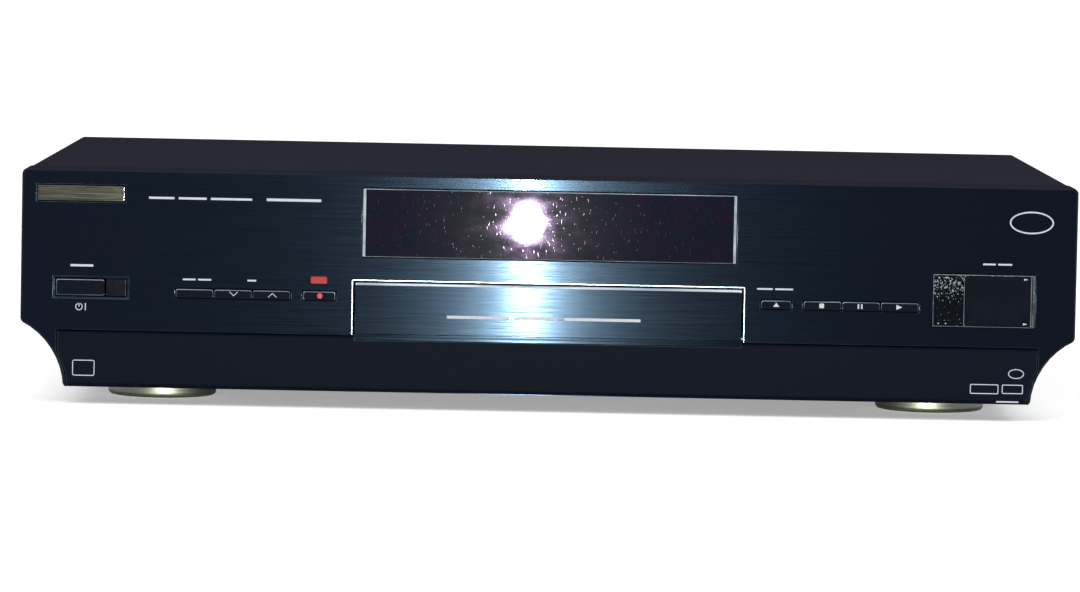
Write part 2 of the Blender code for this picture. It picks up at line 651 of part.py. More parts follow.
def make_key(name):
    """A key: its cap in the plate, a flange above and below that holds it in, and a stem to the switch."""
    corners = KEYS[name]
    (x0, z0), (x1, z1) = corners
    plate_back = PLATE_BACK_Y
    front = FACE_Y - KEY_PROUD
    if name == "power_key":
        front = FACE_Y
    if name == "time_slip_key":
        plate_back = SLIP_FLANGE_BACK_Y
        front = FACE_Y - PROUD
    flange_front = plate_back + SEAT_GAP
    flange_back = flange_front + KEY_FLANGE_THICKNESS
    cap = prism(rounded_rectangle((x0, z0), (x1, z1), KEY_CORNER_RADIUS, 2), "Y", front,
                flange_front + KEY_FLANGE_THICKNESS / 2)
    flange = box((x0, flange_front, z0 - KEY_FLANGE), (x1, flange_back, z1 + KEY_FLANGE))
    middle_x, middle_z = key_middle(name)
    half = KEY_STEM / 2
    stem_end = BOARD_Y - SWITCH_HEIGHT - KEY_TRAVEL - SEAT_GAP
    stem = box((middle_x - half, flange_back - KEY_FLANGE_THICKNESS / 2, middle_z - half),
               (middle_x + half, stem_end, middle_z + half))
    finish = "clear_block" if name == "time_slip_key" else "dark_moulding"
    place(name, united(cap, flange, stem), finish, pivot=(middle_x, front, middle_z))


def make_sensor_window():
    """The flush window of the remote sensor, beside the power key."""
    shape = slab(KEYS["sensor"], FACE_Y + SEAT_GAP, PLATE_BACK_Y)
    place("sensor_window", shape, "smoked_window")


SLIP_FLANGE = 1.5 * MM
SLIP_FLANGE_THICKNESS = 1.0 * MM
SLIP_FLANGE_FRONT_Y = PLATE_BACK_Y + SEAT_GAP
SLIP_FLANGE_BACK_Y = SLIP_FLANGE_FRONT_Y + SLIP_FLANGE_THICKNESS


def make_time_slip_lens():
    """The clear block: a textured light guide at the left, and a thin rim round the key's hole."""
    block = slab(KEYS["slip"], FACE_Y - PROUD, SLIP_FLANGE_BACK_Y - SLIP_FLANGE_THICKNESS / 2)
    flange = slab(grown(KEYS["slip"], SLIP_FLANGE), SLIP_FLANGE_FRONT_Y, SLIP_FLANGE_BACK_Y)
    hole = slab(grown(KEYS["time_slip_key"], KEY_SPACE), FACE_Y - PROUD - OVERRUN,
                SLIP_FLANGE_BACK_Y + OVERRUN)
    place("time_slip_lens", cut(united(block, flange), hole), "clear_block")


def make_badge():
    """The bare badge plate."""
    shape = slab(BADGE_CORNERS, FACE_Y + BADGE_POCKET - SEAT_GAP - BADGE_THICKNESS,
                 FACE_Y + BADGE_POCKET - SEAT_GAP)
    place("name_plate", shape, "champagne_metal")


# Folded steel: top cover, chassis base and rear panel
SHEET = 1.2 * MM
COVER_INSET = 0.5 * MM
COVER_CORNER_RADIUS = 1.7 * MM
COVER_LOWER_RISE = 27.4 * MM
COVER_REAR_SETBACK = 8.5 * MM
REAR_PANEL_SETBACK = 10.0 * MM
PAN_FLANGE_RISE = 40.0 * MM
VENT_COUNT = 12
VENT_WIDTH = 2.4 * MM
VENT_PITCH = 7.0 * MM
VENT_HEIGHT = 16.0 * MM
VENT_RISE = 56.0 * MM
VENT_REAR_GAP = 40.0 * MM

COVER_FRONT_Y = FACE_Y + PANEL_DEPTH + SEAT_GAP
COVER_REAR_Y = REAR_Y - COVER_REAR_SETBACK
COVER_HALF = HALF_WIDTH - COVER_INSET
COVER_TOP_Z = TOP_Z - COVER_INSET
COVER_LOWER_Z = BASE_Z + COVER_LOWER_RISE
REAR_PANEL_Y = REAR_Y - REAR_PANEL_SETBACK
PAN_HALF = COVER_HALF - SHEET - SEAT_GAP
PAN_FLOOR_Z = BASE_Z + SHEET


def cover_outline(inset):
    """One run of the cover's section, from the left lower edge over the top to the right."""
    half = COVER_HALF - inset
    top = COVER_TOP_Z - inset
    radius = COVER_CORNER_RADIUS - inset
    corners = [(-half, COVER_LOWER_Z, 0), (-half, top, radius), (half, top, radius), (half, COVER_LOWER_Z, 0)]
    return rounded_corners(corners, ROUND_STEPS)


def make_top_cover():
    """The folded cover, with a row of upright slots towards the back of each side."""
    shape = prism(cover_outline(0) + cover_outline(SHEET)[::-1], "Y", COVER_FRONT_Y, COVER_REAR_Y)
    slots = []
    for index in range(VENT_COUNT):
        y = COVER_REAR_Y - VENT_REAR_GAP - index * VENT_PITCH
        for side in (-1, 1):
            wall = side * (COVER_HALF - SHEET / 2)
            slots.append(box((wall - SHEET, y, BASE_Z + VENT_RISE), (wall + SHEET, y + VENT_WIDTH,
                                                                    BASE_Z + VENT_RISE + VENT_HEIGHT)))
    place("top_cover", cut(shape, together(slots)), "dark_steel")


def pan_outline(inset):
    """One run of the pan's section, from the left flange under the floor to the right flange."""
    half = PAN_HALF - inset
    floor = BASE_Z + inset
    arc = cove_arc(COVER_INSET + inset, half, floor)
    right = arc + [(half, BASE_Z + PAN_FLANGE_RISE)]
    left = [(-x, z) for x, z in reversed(right)]
    return left + right


def make_chassis_base():
    """The pan under everything, drawn in at its lower edges, with the bosses that carry the units."""
    shape = prism(pan_outline(0) + pan_outline(SHEET)[::-1], "Y", COVER_FRONT_Y, REAR_PANEL_Y - SEAT_GAP)
    bosses = []
    for x, y, height in pan_bosses():
        rise = height - SEAT_GAP - PAN_FLOOR_Z + SHEET / 2
        bosses.append(cylinder((x, y, PAN_FLOOR_Z - SHEET / 2), "Z", rise, PAN_BOSS_RADIUS, 10))
    place("chassis_base", united(shape, together(bosses)), "zinc_steel")


# Disc drive: loader frame and tray
DRIVE_SETBACK = 15.0 * MM
DRIVE_REAR_ROOM = 16.7 * MM
DRIVE_WALL = 2.5 * MM
DRIVE_RISE = 8.0 * MM
DRIVE_HEIGHT = 38.0 * MM
DRIVE_FLOOR = 2.0 * MM
TRAY_WIDTH = 146.0 * MM
TRAY_BOTTOM_RISE = 27.2 * MM
TRAY_HEIGHT = 12.0 * MM
TRAY_LENGTH = 171.0 * MM
TRAY_FLOOR = 4.0 * MM
LEDGE_WIDTH = 4.0 * MM
LEDGE_THICKNESS = 3.0 * MM
RAIL_LENGTH = 90.0 * MM
RAIL_THICKNESS = 1.6 * MM
CARTRIDGE_WIDTH = 128.0 * MM
CARTRIDGE_LENGTH = 137.0 * MM
CARTRIDGE_FRONT = 6.0 * MM
DISC_RADIUS = 60.5 * MM
DISC_DEPTH = 1.0 * MM
DISC_SIDES = 48
TRAY_SLOT_HALF = 29.0 * MM

DRIVE_FRONT_Y = FACE_Y + DRIVE_SETBACK
DRIVE_BOTTOM_Z = BASE_Z + DRIVE_RISE
DRIVE_FLOOR_Z = DRIVE_BOTTOM_Z + DRIVE_FLOOR
DRIVE_TOP_Z = DRIVE_BOTTOM_Z + DRIVE_HEIGHT
TRAY_HALF = TRAY_WIDTH / 2
DRIVE_INNER_HALF = TRAY_HALF + RUN_GAP
DRIVE_HALF = DRIVE_INNER_HALF + DRIVE_WALL
TRAY_Z = BASE_Z + TRAY_BOTTOM_RISE
TRAY_TOP_Z = TRAY_Z + TRAY_HEIGHT
TRAY_FLOOR_Z = TRAY_Z + TRAY_FLOOR
TRAY_FRONT_Y = FACE_Y - PROUD + DOOR_THICKNESS + SEAT_GAP
TRAY_REAR_Y = TRAY_FRONT_Y + TRAY_LENGTH
DRIVE_REAR_Y = TRAY_REAR_Y + DRIVE_REAR_ROOM
CARTRIDGE_Y = TRAY_FRONT_Y + CARTRIDGE_FRONT
DISC_Y = CARTRIDGE_Y + DISC_RADIUS + CARTRIDGE_FRONT

# Jack bay behind the flap, and its four sockets
JACK_BAY_DRIVE_GAP = 20.0 * MM
JACK_BAY_HEIGHT = 13.5 * MM
JACK_BAY_RISE = 5.5 * MM
JACK_BAY_SIDE_INSET = 31.0 * MM
JACK_BAY_DEPTH = 8.0 * MM
JACK_TUB_WALL = 1.2 * MM
JACK_TUB_FLANGE = 2.0 * MM
JACK_SHELL_RADIUS = 4.15 * MM
JACK_BORE_RADIUS = 1.6 * MM
JACK_SHELL_LENGTH = 6.0 * MM
JACK_BODY_SIZE = 10.0 * MM
JACK_BODY_DEPTH = 8.0 * MM
S_VIDEO_RADIUS = 6.2 * MM
S_VIDEO_BORE_RADIUS = 4.7 * MM
S_VIDEO_BORE_DEPTH = 6.0 * MM
JACK_PLACE_SHARES = (0.15, 0.38, 0.62, 0.86)

JACK_BAY_RIGHT = HALF_WIDTH - JACK_BAY_SIDE_INSET
JACK_BAY_LEFT = DRIVE_HALF + JACK_BAY_DRIVE_GAP
JACK_BAY_FLOOR_Z = BASE_Z + JACK_BAY_RISE
JACK_BAY_TOP_Z = JACK_BAY_FLOOR_Z + JACK_BAY_HEIGHT
JACK_BAY_MID_Z = (JACK_BAY_FLOOR_Z + JACK_BAY_TOP_Z) / 2
TUB_FRONT_Y = BACKING_Y + BACKING_THICKNESS + SEAT_GAP
TUB_BACK_Y = TUB_FRONT_Y + JACK_BAY_DEPTH


# Gears: the tray gear drives the rack, and its wheel is driven by the pulley's pinion
GEAR_MODULE = 1.0 * MM
ADDENDUM_SHARE = 0.85
DEDENDUM_SHARE = 1.2
BACKLASH = 0.25 * MM
PRESSURE_ANGLE = math.radians(20)
RACK_GEAR_TEETH = 18
WHEEL_TEETH = 30
PINION_TEETH = 12
GEAR_SETBACK = 19.0 * MM
RACK_LINE_INSET = 10.0 * MM
RACK_WIDTH = 5.0 * MM
RACK_HEIGHT = 3.0 * MM
GEAR_POST_RADIUS = 2.0 * MM
GEAR_BORE_GAP = 0.15 * MM
GEAR_HUB_RADIUS = 4.0 * MM
WHEEL_RISE = 12.0 * MM
WHEEL_THICKNESS = 3.0 * MM
RACK_GEAR_RISE = 24.0 * MM
RACK_GEAR_THICKNESS = 2.8 * MM
PULLEY_RISE = 16.0 * MM
PULLEY_THICKNESS = 3.6 * MM
PULLEY_RADIUS = 11.8 * MM
GROOVE_RADIUS = 9.9 * MM
MOTOR_PULLEY_RADIUS = 4.4 * MM
MOTOR_GROOVE_RADIUS = 2.6 * MM
MOTOR_SPACING = 30.0 * MM
MOTOR_SHAFT_RADIUS = 1.0 * MM
BELT_SIZE = 1.2 * MM
LOADING_MOTOR_RADIUS = 10.0 * MM
LOADING_MOTOR_RISE = 3.0 * MM
LOADING_MOTOR_TOP_RISE = 15.0 * MM
LOADING_FLANGE = 2.5 * MM

GEAR_Y = DRIVE_FRONT_Y + GEAR_SETBACK
RACK_LINE_X = -TRAY_HALF + RACK_LINE_INSET
RACK_GEAR_PITCH_RADIUS = RACK_GEAR_TEETH * GEAR_MODULE / 2
TRAY_GEAR_X = RACK_LINE_X + RACK_GEAR_PITCH_RADIUS
PULLEY_X = TRAY_GEAR_X + (WHEEL_TEETH + PINION_TEETH) * GEAR_MODULE / 2
MOTOR_X = PULLEY_X + MOTOR_SPACING


def involute(angle):
    """The involute function of a pressure angle."""
    return math.tan(angle) - angle


def gear_outline(centre, teeth, first_tooth):
    """An involute gear's outline in X and Y, with a tooth's middle at the angle first_tooth."""
    pitch = teeth * GEAR_MODULE / 2
    base = pitch * math.cos(PRESSURE_ANGLE)
    root = pitch - DEDENDUM_SHARE * GEAR_MODULE
    tip = pitch + ADDENDUM_SHARE * GEAR_MODULE
    half_at_pitch = math.pi / (2 * teeth) - BACKLASH / (4 * pitch)
    start = max(root, base)
    flank = []
    for radius in (start, (start + tip) / 2, tip):
        turn = involute(math.acos(min(1, base / radius)))
        flank.append((radius, half_at_pitch + involute(PRESSURE_ANGLE) - turn))
    if root < base:
        flank.insert(0, (root, flank[0][1]))
    points = []
    for tooth in range(teeth):
        middle = first_tooth + TURN * tooth / teeth
        for radius, half in flank:
            points.append((radius, middle - half))
        for radius, half in reversed(flank):
            points.append((radius, middle + half))
    return [(centre[0] + radius * math.cos(angle), centre[1] + radius * math.sin(angle))
            for radius, angle in points]


def rack_outline():
    """The rack's outline in X and Y, its teeth pointing to +X, with a space level with the tray gear."""
    pitch = math.pi * GEAR_MODULE
    lean = math.tan(PRESSURE_ANGLE)
    tip = RACK_LINE_X + ADDENDUM_SHARE * GEAR_MODULE
    root = RACK_LINE_X - DEDENDUM_SHARE * GEAR_MODULE
    half = pitch / 4 - BACKLASH / 4
    half_tip = half - ADDENDUM_SHARE * GEAR_MODULE * lean
    half_root = half + DEDENDUM_SHARE * GEAR_MODULE * lean
    back = RACK_LINE_X - RACK_WIDTH
    first = -math.floor((GEAR_Y - TRAY_FRONT_Y) / pitch) + 0.5
    count = math.floor(TRAY_LENGTH / pitch) - 1
    points = [(back, GEAR_Y + (first - 0.5) * pitch)]
    for index in range(count):
        middle = GEAR_Y + (first + index) * pitch
        points += [(root, middle - half_root), (tip, middle - half_tip),
                   (tip, middle + half_tip), (root, middle + half_root)]
    points.append((back, GEAR_Y + (first + count - 0.5) * pitch))
    return points


def make_disc_tray():
    """The tray: a cartridge recess, a round disc recess in its floor, a slot open to the rear, a rack."""
    shape = box((-TRAY_HALF, TRAY_FRONT_Y, TRAY_Z), (TRAY_HALF, TRAY_REAR_Y, TRAY_TOP_Z))
    half = CARTRIDGE_WIDTH / 2
    recess = prism(rounded_rectangle((-half, CARTRIDGE_Y), (half, CARTRIDGE_Y + CARTRIDGE_LENGTH),
                                     CARTRIDGE_FRONT / 2, 3), "Z", TRAY_FLOOR_Z, TRAY_TOP_Z + OVERRUN)
    disc = cylinder((0, DISC_Y, TRAY_FLOOR_Z - DISC_DEPTH), "Z", DISC_DEPTH + OVERRUN, DISC_RADIUS, DISC_SIDES)
    slot_front = DISC_Y - TABLE_RADIUS - 2 * OVERRUN
    radius = TRAY_SLOT_HALF / 3
    slot = prism(rounded_corners([(-TRAY_SLOT_HALF, slot_front, radius), (TRAY_SLOT_HALF, slot_front, radius),
                                  (TRAY_SLOT_HALF, TRAY_REAR_Y + OVERRUN, 0),
                                  (-TRAY_SLOT_HALF, TRAY_REAR_Y + OVERRUN, 0)], 3),
                 "Z", TRAY_Z - OVERRUN, TRAY_TOP_Z + OVERRUN)
    rack = prism(rack_outline(), "Z", TRAY_Z - RACK_HEIGHT, TRAY_Z + TRAY_FLOOR / 4)
    shape = united(cut(shape, recess, disc, slot), rack)
    place("disc_tray", shape, "black_plastic", pivot=(0, TRAY_FRONT_Y, TRAY_Z))


def make_tray_door():
    """The door on the tray's front end, with a chamfer along its upper edge."""
    front = FACE_Y - PROUD
    chamfer = DOOR_CORNER_RADIUS
    outline = [(front, DOOR_BOTTOM_Z), (front, DOOR_TOP_Z - chamfer), (front + chamfer, DOOR_TOP_Z),
               (front + DOOR_THICKNESS, DOOR_TOP_Z), (front + DOOR_THICKNESS, DOOR_BOTTOM_Z)]
    place("tray_door", prism(outline, "X", -DOOR_HALF, DOOR_HALF), "brushed_face",
          pivot=(0, TRAY_FRONT_Y, TRAY_Z))


# Traverse: the frame that lifts the turntable and the pickup to the disc. It is modelled raised and
# level, and an empty on its hinge lets it down to where it rests while no disc is held.
LIFT_ANGLE = math.radians(5.0)
HINGE_REAR_GAP = 14.0 * MM
HINGE_RISE = 20.0 * MM
HINGE_PIN_RADIUS = 1.5 * MM
HINGE_PIN_LENGTH = 8.0 * MM
TRAVERSE_HALF = 30.0 * MM
TRAVERSE_THICKNESS = 2.0 * MM
TRAVERSE_FRONT_REACH = 23.0 * MM
TRAVERSE_REAR_GAP = 5.0 * MM
TAB_LENGTH = 5.0 * MM
TAB_HALF = 8.0 * MM
TAB_DROP = 0.4 * MM
FLOOR_OPENING_HALF = 40.0 * MM
FLOOR_OPENING_FRONT = 25.0 * MM
TABLE_RADIUS = 15.0 * MM
TABLE_RISE = 30.0 * MM
TABLE_THICKNESS = 2.0 * MM
SPIGOT_RADIUS = 7.3 * MM
SPIGOT_HEIGHT = 1.8 * MM
SPINDLE_RADIUS = 1.4 * MM
TABLE_HUB_RADIUS = 5.0 * MM
SPINDLE_MOTOR_RADIUS = 13.5 * MM
SPINDLE_MOTOR_HEIGHT = 6.2 * MM
SPINDLE_BORE_GAP = 0.15 * MM
ROD_X = 24.0 * MM
ROD_RISE = 24.0 * MM
ROD_RADIUS = 1.5 * MM
ROD_BLOCK = 3.0 * MM
ROD_BLOCK_HALF = 3.5 * MM
PICKUP_INNER = 27.0 * MM
LENS_FORWARD = 3.0 * MM
PICKUP_REAR_ROOM = 27.2 * MM
PICKUP_HALF = 20.0 * MM
PICKUP_LENGTH = 26.0 * MM
PICKUP_LOW_RISE = 16.0 * MM
PICKUP_TOP_RISE = 27.0 * MM
PICKUP_WINDOW_HALF = 22.0 * MM
LENS_RADIUS = 4.0 * MM
LENS_HEIGHT = 2.6 * MM
SCREW_X = 35.6 * MM
SCREW_RISE = 19.0 * MM
SCREW_CORE_RADIUS = 1.1 * MM
SCREW_THREAD_HEIGHT = 0.5 * MM
SCREW_LEAD = 4.0 * MM
SCREW_SIDES = 8
SCREW_STEPS = 4
FEED_MOTOR_RADIUS = 5.0 * MM
FEED_MOTOR_LENGTH = 12.0 * MM

HINGE_Y = DRIVE_REAR_Y - HINGE_REAR_GAP
HINGE_Z = BASE_Z + HINGE_RISE
PLATE_Z = HINGE_Z
PICKUP_TRAVEL = HINGE_Y - PICKUP_REAR_ROOM - DISC_Y - PICKUP_INNER - PICKUP_LENGTH / 2
PLATE_TOP_Z = PLATE_Z + TRAVERSE_THICKNESS
TRAVERSE_FRONT_Y = DISC_Y - TRAVERSE_FRONT_REACH
TRAVERSE_REAR_Y = HINGE_Y - TRAVERSE_REAR_GAP
ROD_Z = BASE_Z + ROD_RISE
FRONT_BLOCK_Y = DISC_Y + PICKUP_INNER - PICKUP_LENGTH / 2 - ROD_BLOCK - OVERRUN
REAR_BLOCK_Y = DISC_Y + PICKUP_INNER + PICKUP_TRAVEL + PICKUP_LENGTH / 2 + OVERRUN
SCREW_Z = BASE_Z + SCREW_RISE


HINGE_LUG_X = 36.0 * MM
HINGE_LUG_HALF = 3.5 * MM


def make_drive_frame():
    """The loader frame: walls, floor, tray ledges, hold-down rails, gear posts and hinge lugs."""
    shape = box((-DRIVE_HALF, DRIVE_FRONT_Y, DRIVE_BOTTOM_Z), (DRIVE_HALF, DRIVE_REAR_Y, DRIVE_TOP_Z))
    room = box((-DRIVE_INNER_HALF, DRIVE_FRONT_Y + DRIVE_WALL, DRIVE_FLOOR_Z),
               (DRIVE_INNER_HALF, DRIVE_REAR_Y - DRIVE_WALL, DRIVE_TOP_Z + OVERRUN))
    mouth = box((-DRIVE_INNER_HALF, DRIVE_FRONT_Y - OVERRUN, TRAY_Z - RACK_HEIGHT - RUN_GAP),
                (DRIVE_INNER_HALF, DRIVE_FRONT_Y + 2 * DRIVE_WALL, DRIVE_TOP_Z + OVERRUN))
    opening = box((-FLOOR_OPENING_HALF, DISC_Y - FLOOR_OPENING_FRONT, DRIVE_BOTTOM_Z - OVERRUN),
                  (FLOOR_OPENING_HALF, HINGE_Y + HINGE_RISE / 4, DRIVE_FLOOR_Z + OVERRUN))
    motor_hole = cylinder((MOTOR_X, GEAR_Y, DRIVE_BOTTOM_Z - OVERRUN), "Z", DRIVE_FLOOR + 2 * OVERRUN,
                          LOADING_MOTOR_RADIUS + SEAT_GAP, 20)
    shape = cut(shape, room, mouth, opening, motor_hole)
    additions = []
    for side in (-1, 1):
        wall = side * (DRIVE_INNER_HALF + DRIVE_WALL / 2)
        ledge = side * (DRIVE_INNER_HALF - LEDGE_WIDTH)
        rail = side * (DRIVE_INNER_HALF - LEDGE_WIDTH / 2)
        additions.append(box((min(wall, ledge), DRIVE_FRONT_Y + OVERRUN, TRAY_Z - SEAT_GAP - LEDGE_THICKNESS),
                             (max(wall, ledge), DRIVE_REAR_Y - DRIVE_WALL / 2, TRAY_Z - SEAT_GAP)))
        additions.append(box((min(wall, rail), DRIVE_FRONT_Y + OVERRUN, TRAY_TOP_Z + RUN_GAP),
                             (max(wall, rail), DRIVE_FRONT_Y + RAIL_LENGTH,
                              TRAY_TOP_Z + RUN_GAP + RAIL_THICKNESS)))
        lug_inner = side * (HINGE_LUG_X)
        lug_outer = side * (FLOOR_OPENING_HALF + DRIVE_WALL)
        additions.append(box((min(lug_inner, lug_outer), HINGE_Y - HINGE_LUG_HALF, DRIVE_BOTTOM_Z + SEAT_GAP),
                             (max(lug_inner, lug_outer), HINGE_Y + HINGE_LUG_HALF, HINGE_Z + HINGE_LUG_HALF)))
    additions.append(cylinder((TRAY_GEAR_X, GEAR_Y, DRIVE_BOTTOM_Z + SEAT_GAP), "Z",
                              BASE_Z + RACK_GEAR_RISE + RACK_GEAR_THICKNESS / 2 - DRIVE_BOTTOM_Z,
                              GEAR_POST_RADIUS, 12))
    additions.append(cylinder((PULLEY_X, GEAR_Y, DRIVE_BOTTOM_Z + SEAT_GAP), "Z",
                              BASE_Z + PULLEY_RISE + PULLEY_THICKNESS / 2 - DRIVE_BOTTOM_Z,
                              GEAR_POST_RADIUS, 12))
    shape = united(shape, together(additions))
    reach = FLOOR_OPENING_HALF + OVERRUN / 2
    pin_holes = cylinder((-reach, HINGE_Y, HINGE_Z), "X", 2 * reach, HINGE_PIN_RADIUS + SEAT_GAP, 16)
    shape = cut(shape, pin_holes)
    place("drive_frame", shape, "black_plastic")


def bridge_cross(width, z_low, z_high):
    """A bar across the drive above the disc."""
    return box((-DRIVE_HALF, DISC_Y - width / 2, z_low), (DRIVE_HALF, DISC_Y + width / 2, z_high))


BRIDGE_WIDTH = 42.0 * MM
BRIDGE_THICKNESS = 1.6 * MM
BRIDGE_HOLE_RADIUS = 11.0 * MM
CLAMP_RADIUS = 15.0 * MM
CLAMP_RISE = 34.2 * MM
CLAMP_DISC_THICKNESS = 2.6 * MM
CLAMP_TOP_RADIUS = 13.0 * MM
CLAMP_TOP_THICKNESS = 1.2 * MM
CLAMP_RECESS_RADIUS = 8.0 * MM
CLAMP_RECESS_DEPTH = 2.2 * MM


def make_clamp():
    """The bridge across the drive, and the magnetic clamp that hangs in its hole."""
    low = DRIVE_TOP_Z + SEAT_GAP
    high = low + BRIDGE_THICKNESS
    bridge = bridge_cross(BRIDGE_WIDTH, low, high)
    hole = cylinder((0, DISC_Y, low - OVERRUN), "Z", BRIDGE_THICKNESS + 2 * OVERRUN, BRIDGE_HOLE_RADIUS, 24)
    place("clamp_bridge", cut(bridge, hole), "zinc_steel")
    bottom = BASE_Z + CLAMP_RISE
    neck = BRIDGE_HOLE_RADIUS - RUN_GAP
    top = high + SEAT_GAP
    profile = [(0, bottom + CLAMP_RECESS_DEPTH), (CLAMP_RECESS_RADIUS, bottom + CLAMP_RECESS_DEPTH),
               (CLAMP_RECESS_RADIUS, bottom), (CLAMP_RADIUS, bottom),
               (CLAMP_RADIUS, bottom + CLAMP_DISC_THICKNESS), (neck, bottom + CLAMP_DISC_THICKNESS),
               (neck, top), (CLAMP_TOP_RADIUS, top), (CLAMP_TOP_RADIUS, top + CLAMP_TOP_THICKNESS),
               (0, top + CLAMP_TOP_THICKNESS)]
    place("disc_clamp", turned(profile, (0, DISC_Y, 0), "Z", 24), "black_plastic", pivot=(0, DISC_Y, bottom))


def make_gear_train():
    """The tray gear, the pulley gear, the belt, the motor's pulley and the loading motor."""
    gear_bore = GEAR_POST_RADIUS + GEAR_BORE_GAP
    low = BASE_Z + WHEEL_RISE
    rack_low = BASE_Z + RACK_GEAR_RISE
    centre = (TRAY_GEAR_X, GEAR_Y)
    wheel = prism(gear_outline(centre, WHEEL_TEETH, 0), "Z", low, low + WHEEL_THICKNESS)
    hub = cylinder((*centre, low + WHEEL_THICKNESS / 2), "Z", rack_low - low, GEAR_HUB_RADIUS, 16)
    small = prism(gear_outline(centre, RACK_GEAR_TEETH, math.pi), "Z", rack_low, rack_low + RACK_GEAR_THICKNESS)
    through = rack_low + RACK_GEAR_THICKNESS - low + 2 * OVERRUN
    bore = cylinder((*centre, low - OVERRUN), "Z", through, gear_bore, 12)
    place("tray_gear", cut(united(wheel, hub, small), bore), "white_plastic", pivot=(*centre, low))

    centre = (PULLEY_X, GEAR_Y)
    first = math.pi + math.pi / PINION_TEETH
    pinion_top = low + WHEEL_THICKNESS + RUN_GAP
    pinion = prism(gear_outline(centre, PINION_TEETH, first), "Z", low - SEAT_GAP, pinion_top)
    base = BASE_Z + PULLEY_RISE
    disc = turned(pulley_profile(PULLEY_RADIUS, GROOVE_RADIUS, base), (*centre, 0), "Z", 28)
    neck = cylinder((*centre, low + WHEEL_THICKNESS / 2), "Z", base - low, GEAR_HUB_RADIUS, 12)
    bore = cylinder((*centre, low - OVERRUN), "Z", through, gear_bore, 12)
    place("pulley_gear", cut(united(pinion, neck, disc), bore), "white_plastic", pivot=(*centre, low))

    centre = (MOTOR_X, GEAR_Y)
    disc = turned(pulley_profile(MOTOR_PULLEY_RADIUS, MOTOR_GROOVE_RADIUS, base), (*centre, 0), "Z", 20)
    bore = cylinder((*centre, base - OVERRUN), "Z", PULLEY_THICKNESS - RUN_GAP + OVERRUN,
                    MOTOR_SHAFT_RADIUS + GEAR_BORE_GAP, 10)
    place("motor_pulley", cut(disc, bore), "white_plastic", pivot=(*centre, base))

    groove_low = base + (PULLEY_THICKNESS - BELT_SIZE) / 2
    outer = belt_outline(BELT_SIZE + SEAT_GAP)
    inner = belt_outline(SEAT_GAP)
    belt = prism(outer, "Z", groove_low, groove_low + BELT_SIZE)
    belt = cut(belt, prism(inner, "Z", groove_low - OVERRUN, groove_low + BELT_SIZE + OVERRUN))
    place("drive_belt", belt, "rubber")
    make_loading_motor()


def pulley_profile(radius, groove, low):
    """A pulley's profile: two rims with a square groove for the belt between them."""
    rim = (PULLEY_THICKNESS - BELT_SIZE) / 2 - SEAT_GAP
    high = low + PULLEY_THICKNESS
    return [(0, low), (radius, low), (radius, low + rim), (groove, low + rim), (groove, high - rim),
            (radius, high - rim), (radius, high), (0, high)]


def belt_outline(offset):
    """The belt's outline round both pulleys in X and Y, an offset outside their grooves."""
    large = GROOVE_RADIUS + offset
    small = MOTOR_GROOVE_RADIUS + offset
    lean = math.acos((large - small) / MOTOR_SPACING)
    points = []
    for step in range(17):
        angle = lean + (TURN - 2 * lean) * step / 16
        points.append((PULLEY_X + large * math.cos(angle), GEAR_Y + large * math.sin(angle)))
    for step in range(9):
        angle = -lean + 2 * lean * step / 8
        points.append((MOTOR_X + small * math.cos(angle), GEAR_Y + small * math.sin(angle)))
    return points


def make_loading_motor():
    """The motor that hangs in the frame's floor by its flange, with its shaft in the small pulley."""
    low = BASE_Z + LOADING_MOTOR_RISE
    flange = DRIVE_FLOOR_Z + SEAT_GAP
    top = BASE_Z + LOADING_MOTOR_TOP_RISE
    shaft_top = BASE_Z + PULLEY_RISE + PULLEY_THICKNESS / 2
    wide = LOADING_MOTOR_RADIUS + LOADING_FLANGE
    profile = [(0, low), (LOADING_MOTOR_RADIUS, low), (LOADING_MOTOR_RADIUS, flange), (wide, flange),
               (wide, flange + DRIVE_FLOOR / 2), (LOADING_MOTOR_RADIUS, flange + DRIVE_FLOOR / 2),
               (LOADING_MOTOR_RADIUS, top), (MOTOR_SHAFT_RADIUS, top), (MOTOR_SHAFT_RADIUS, shaft_top),
               (0, shaft_top)]
    place("loading_motor", turned(profile, (MOTOR_X, GEAR_Y, 0), "Z", 20), "polished_steel")


BEARING_HALF = 2.6 * MM
SCREW_JOURNAL_RADIUS = 0.8 * MM
ROD_SEAT = 0.15 * MM
PICKUP_EAR_WALL = 1.2 * MM


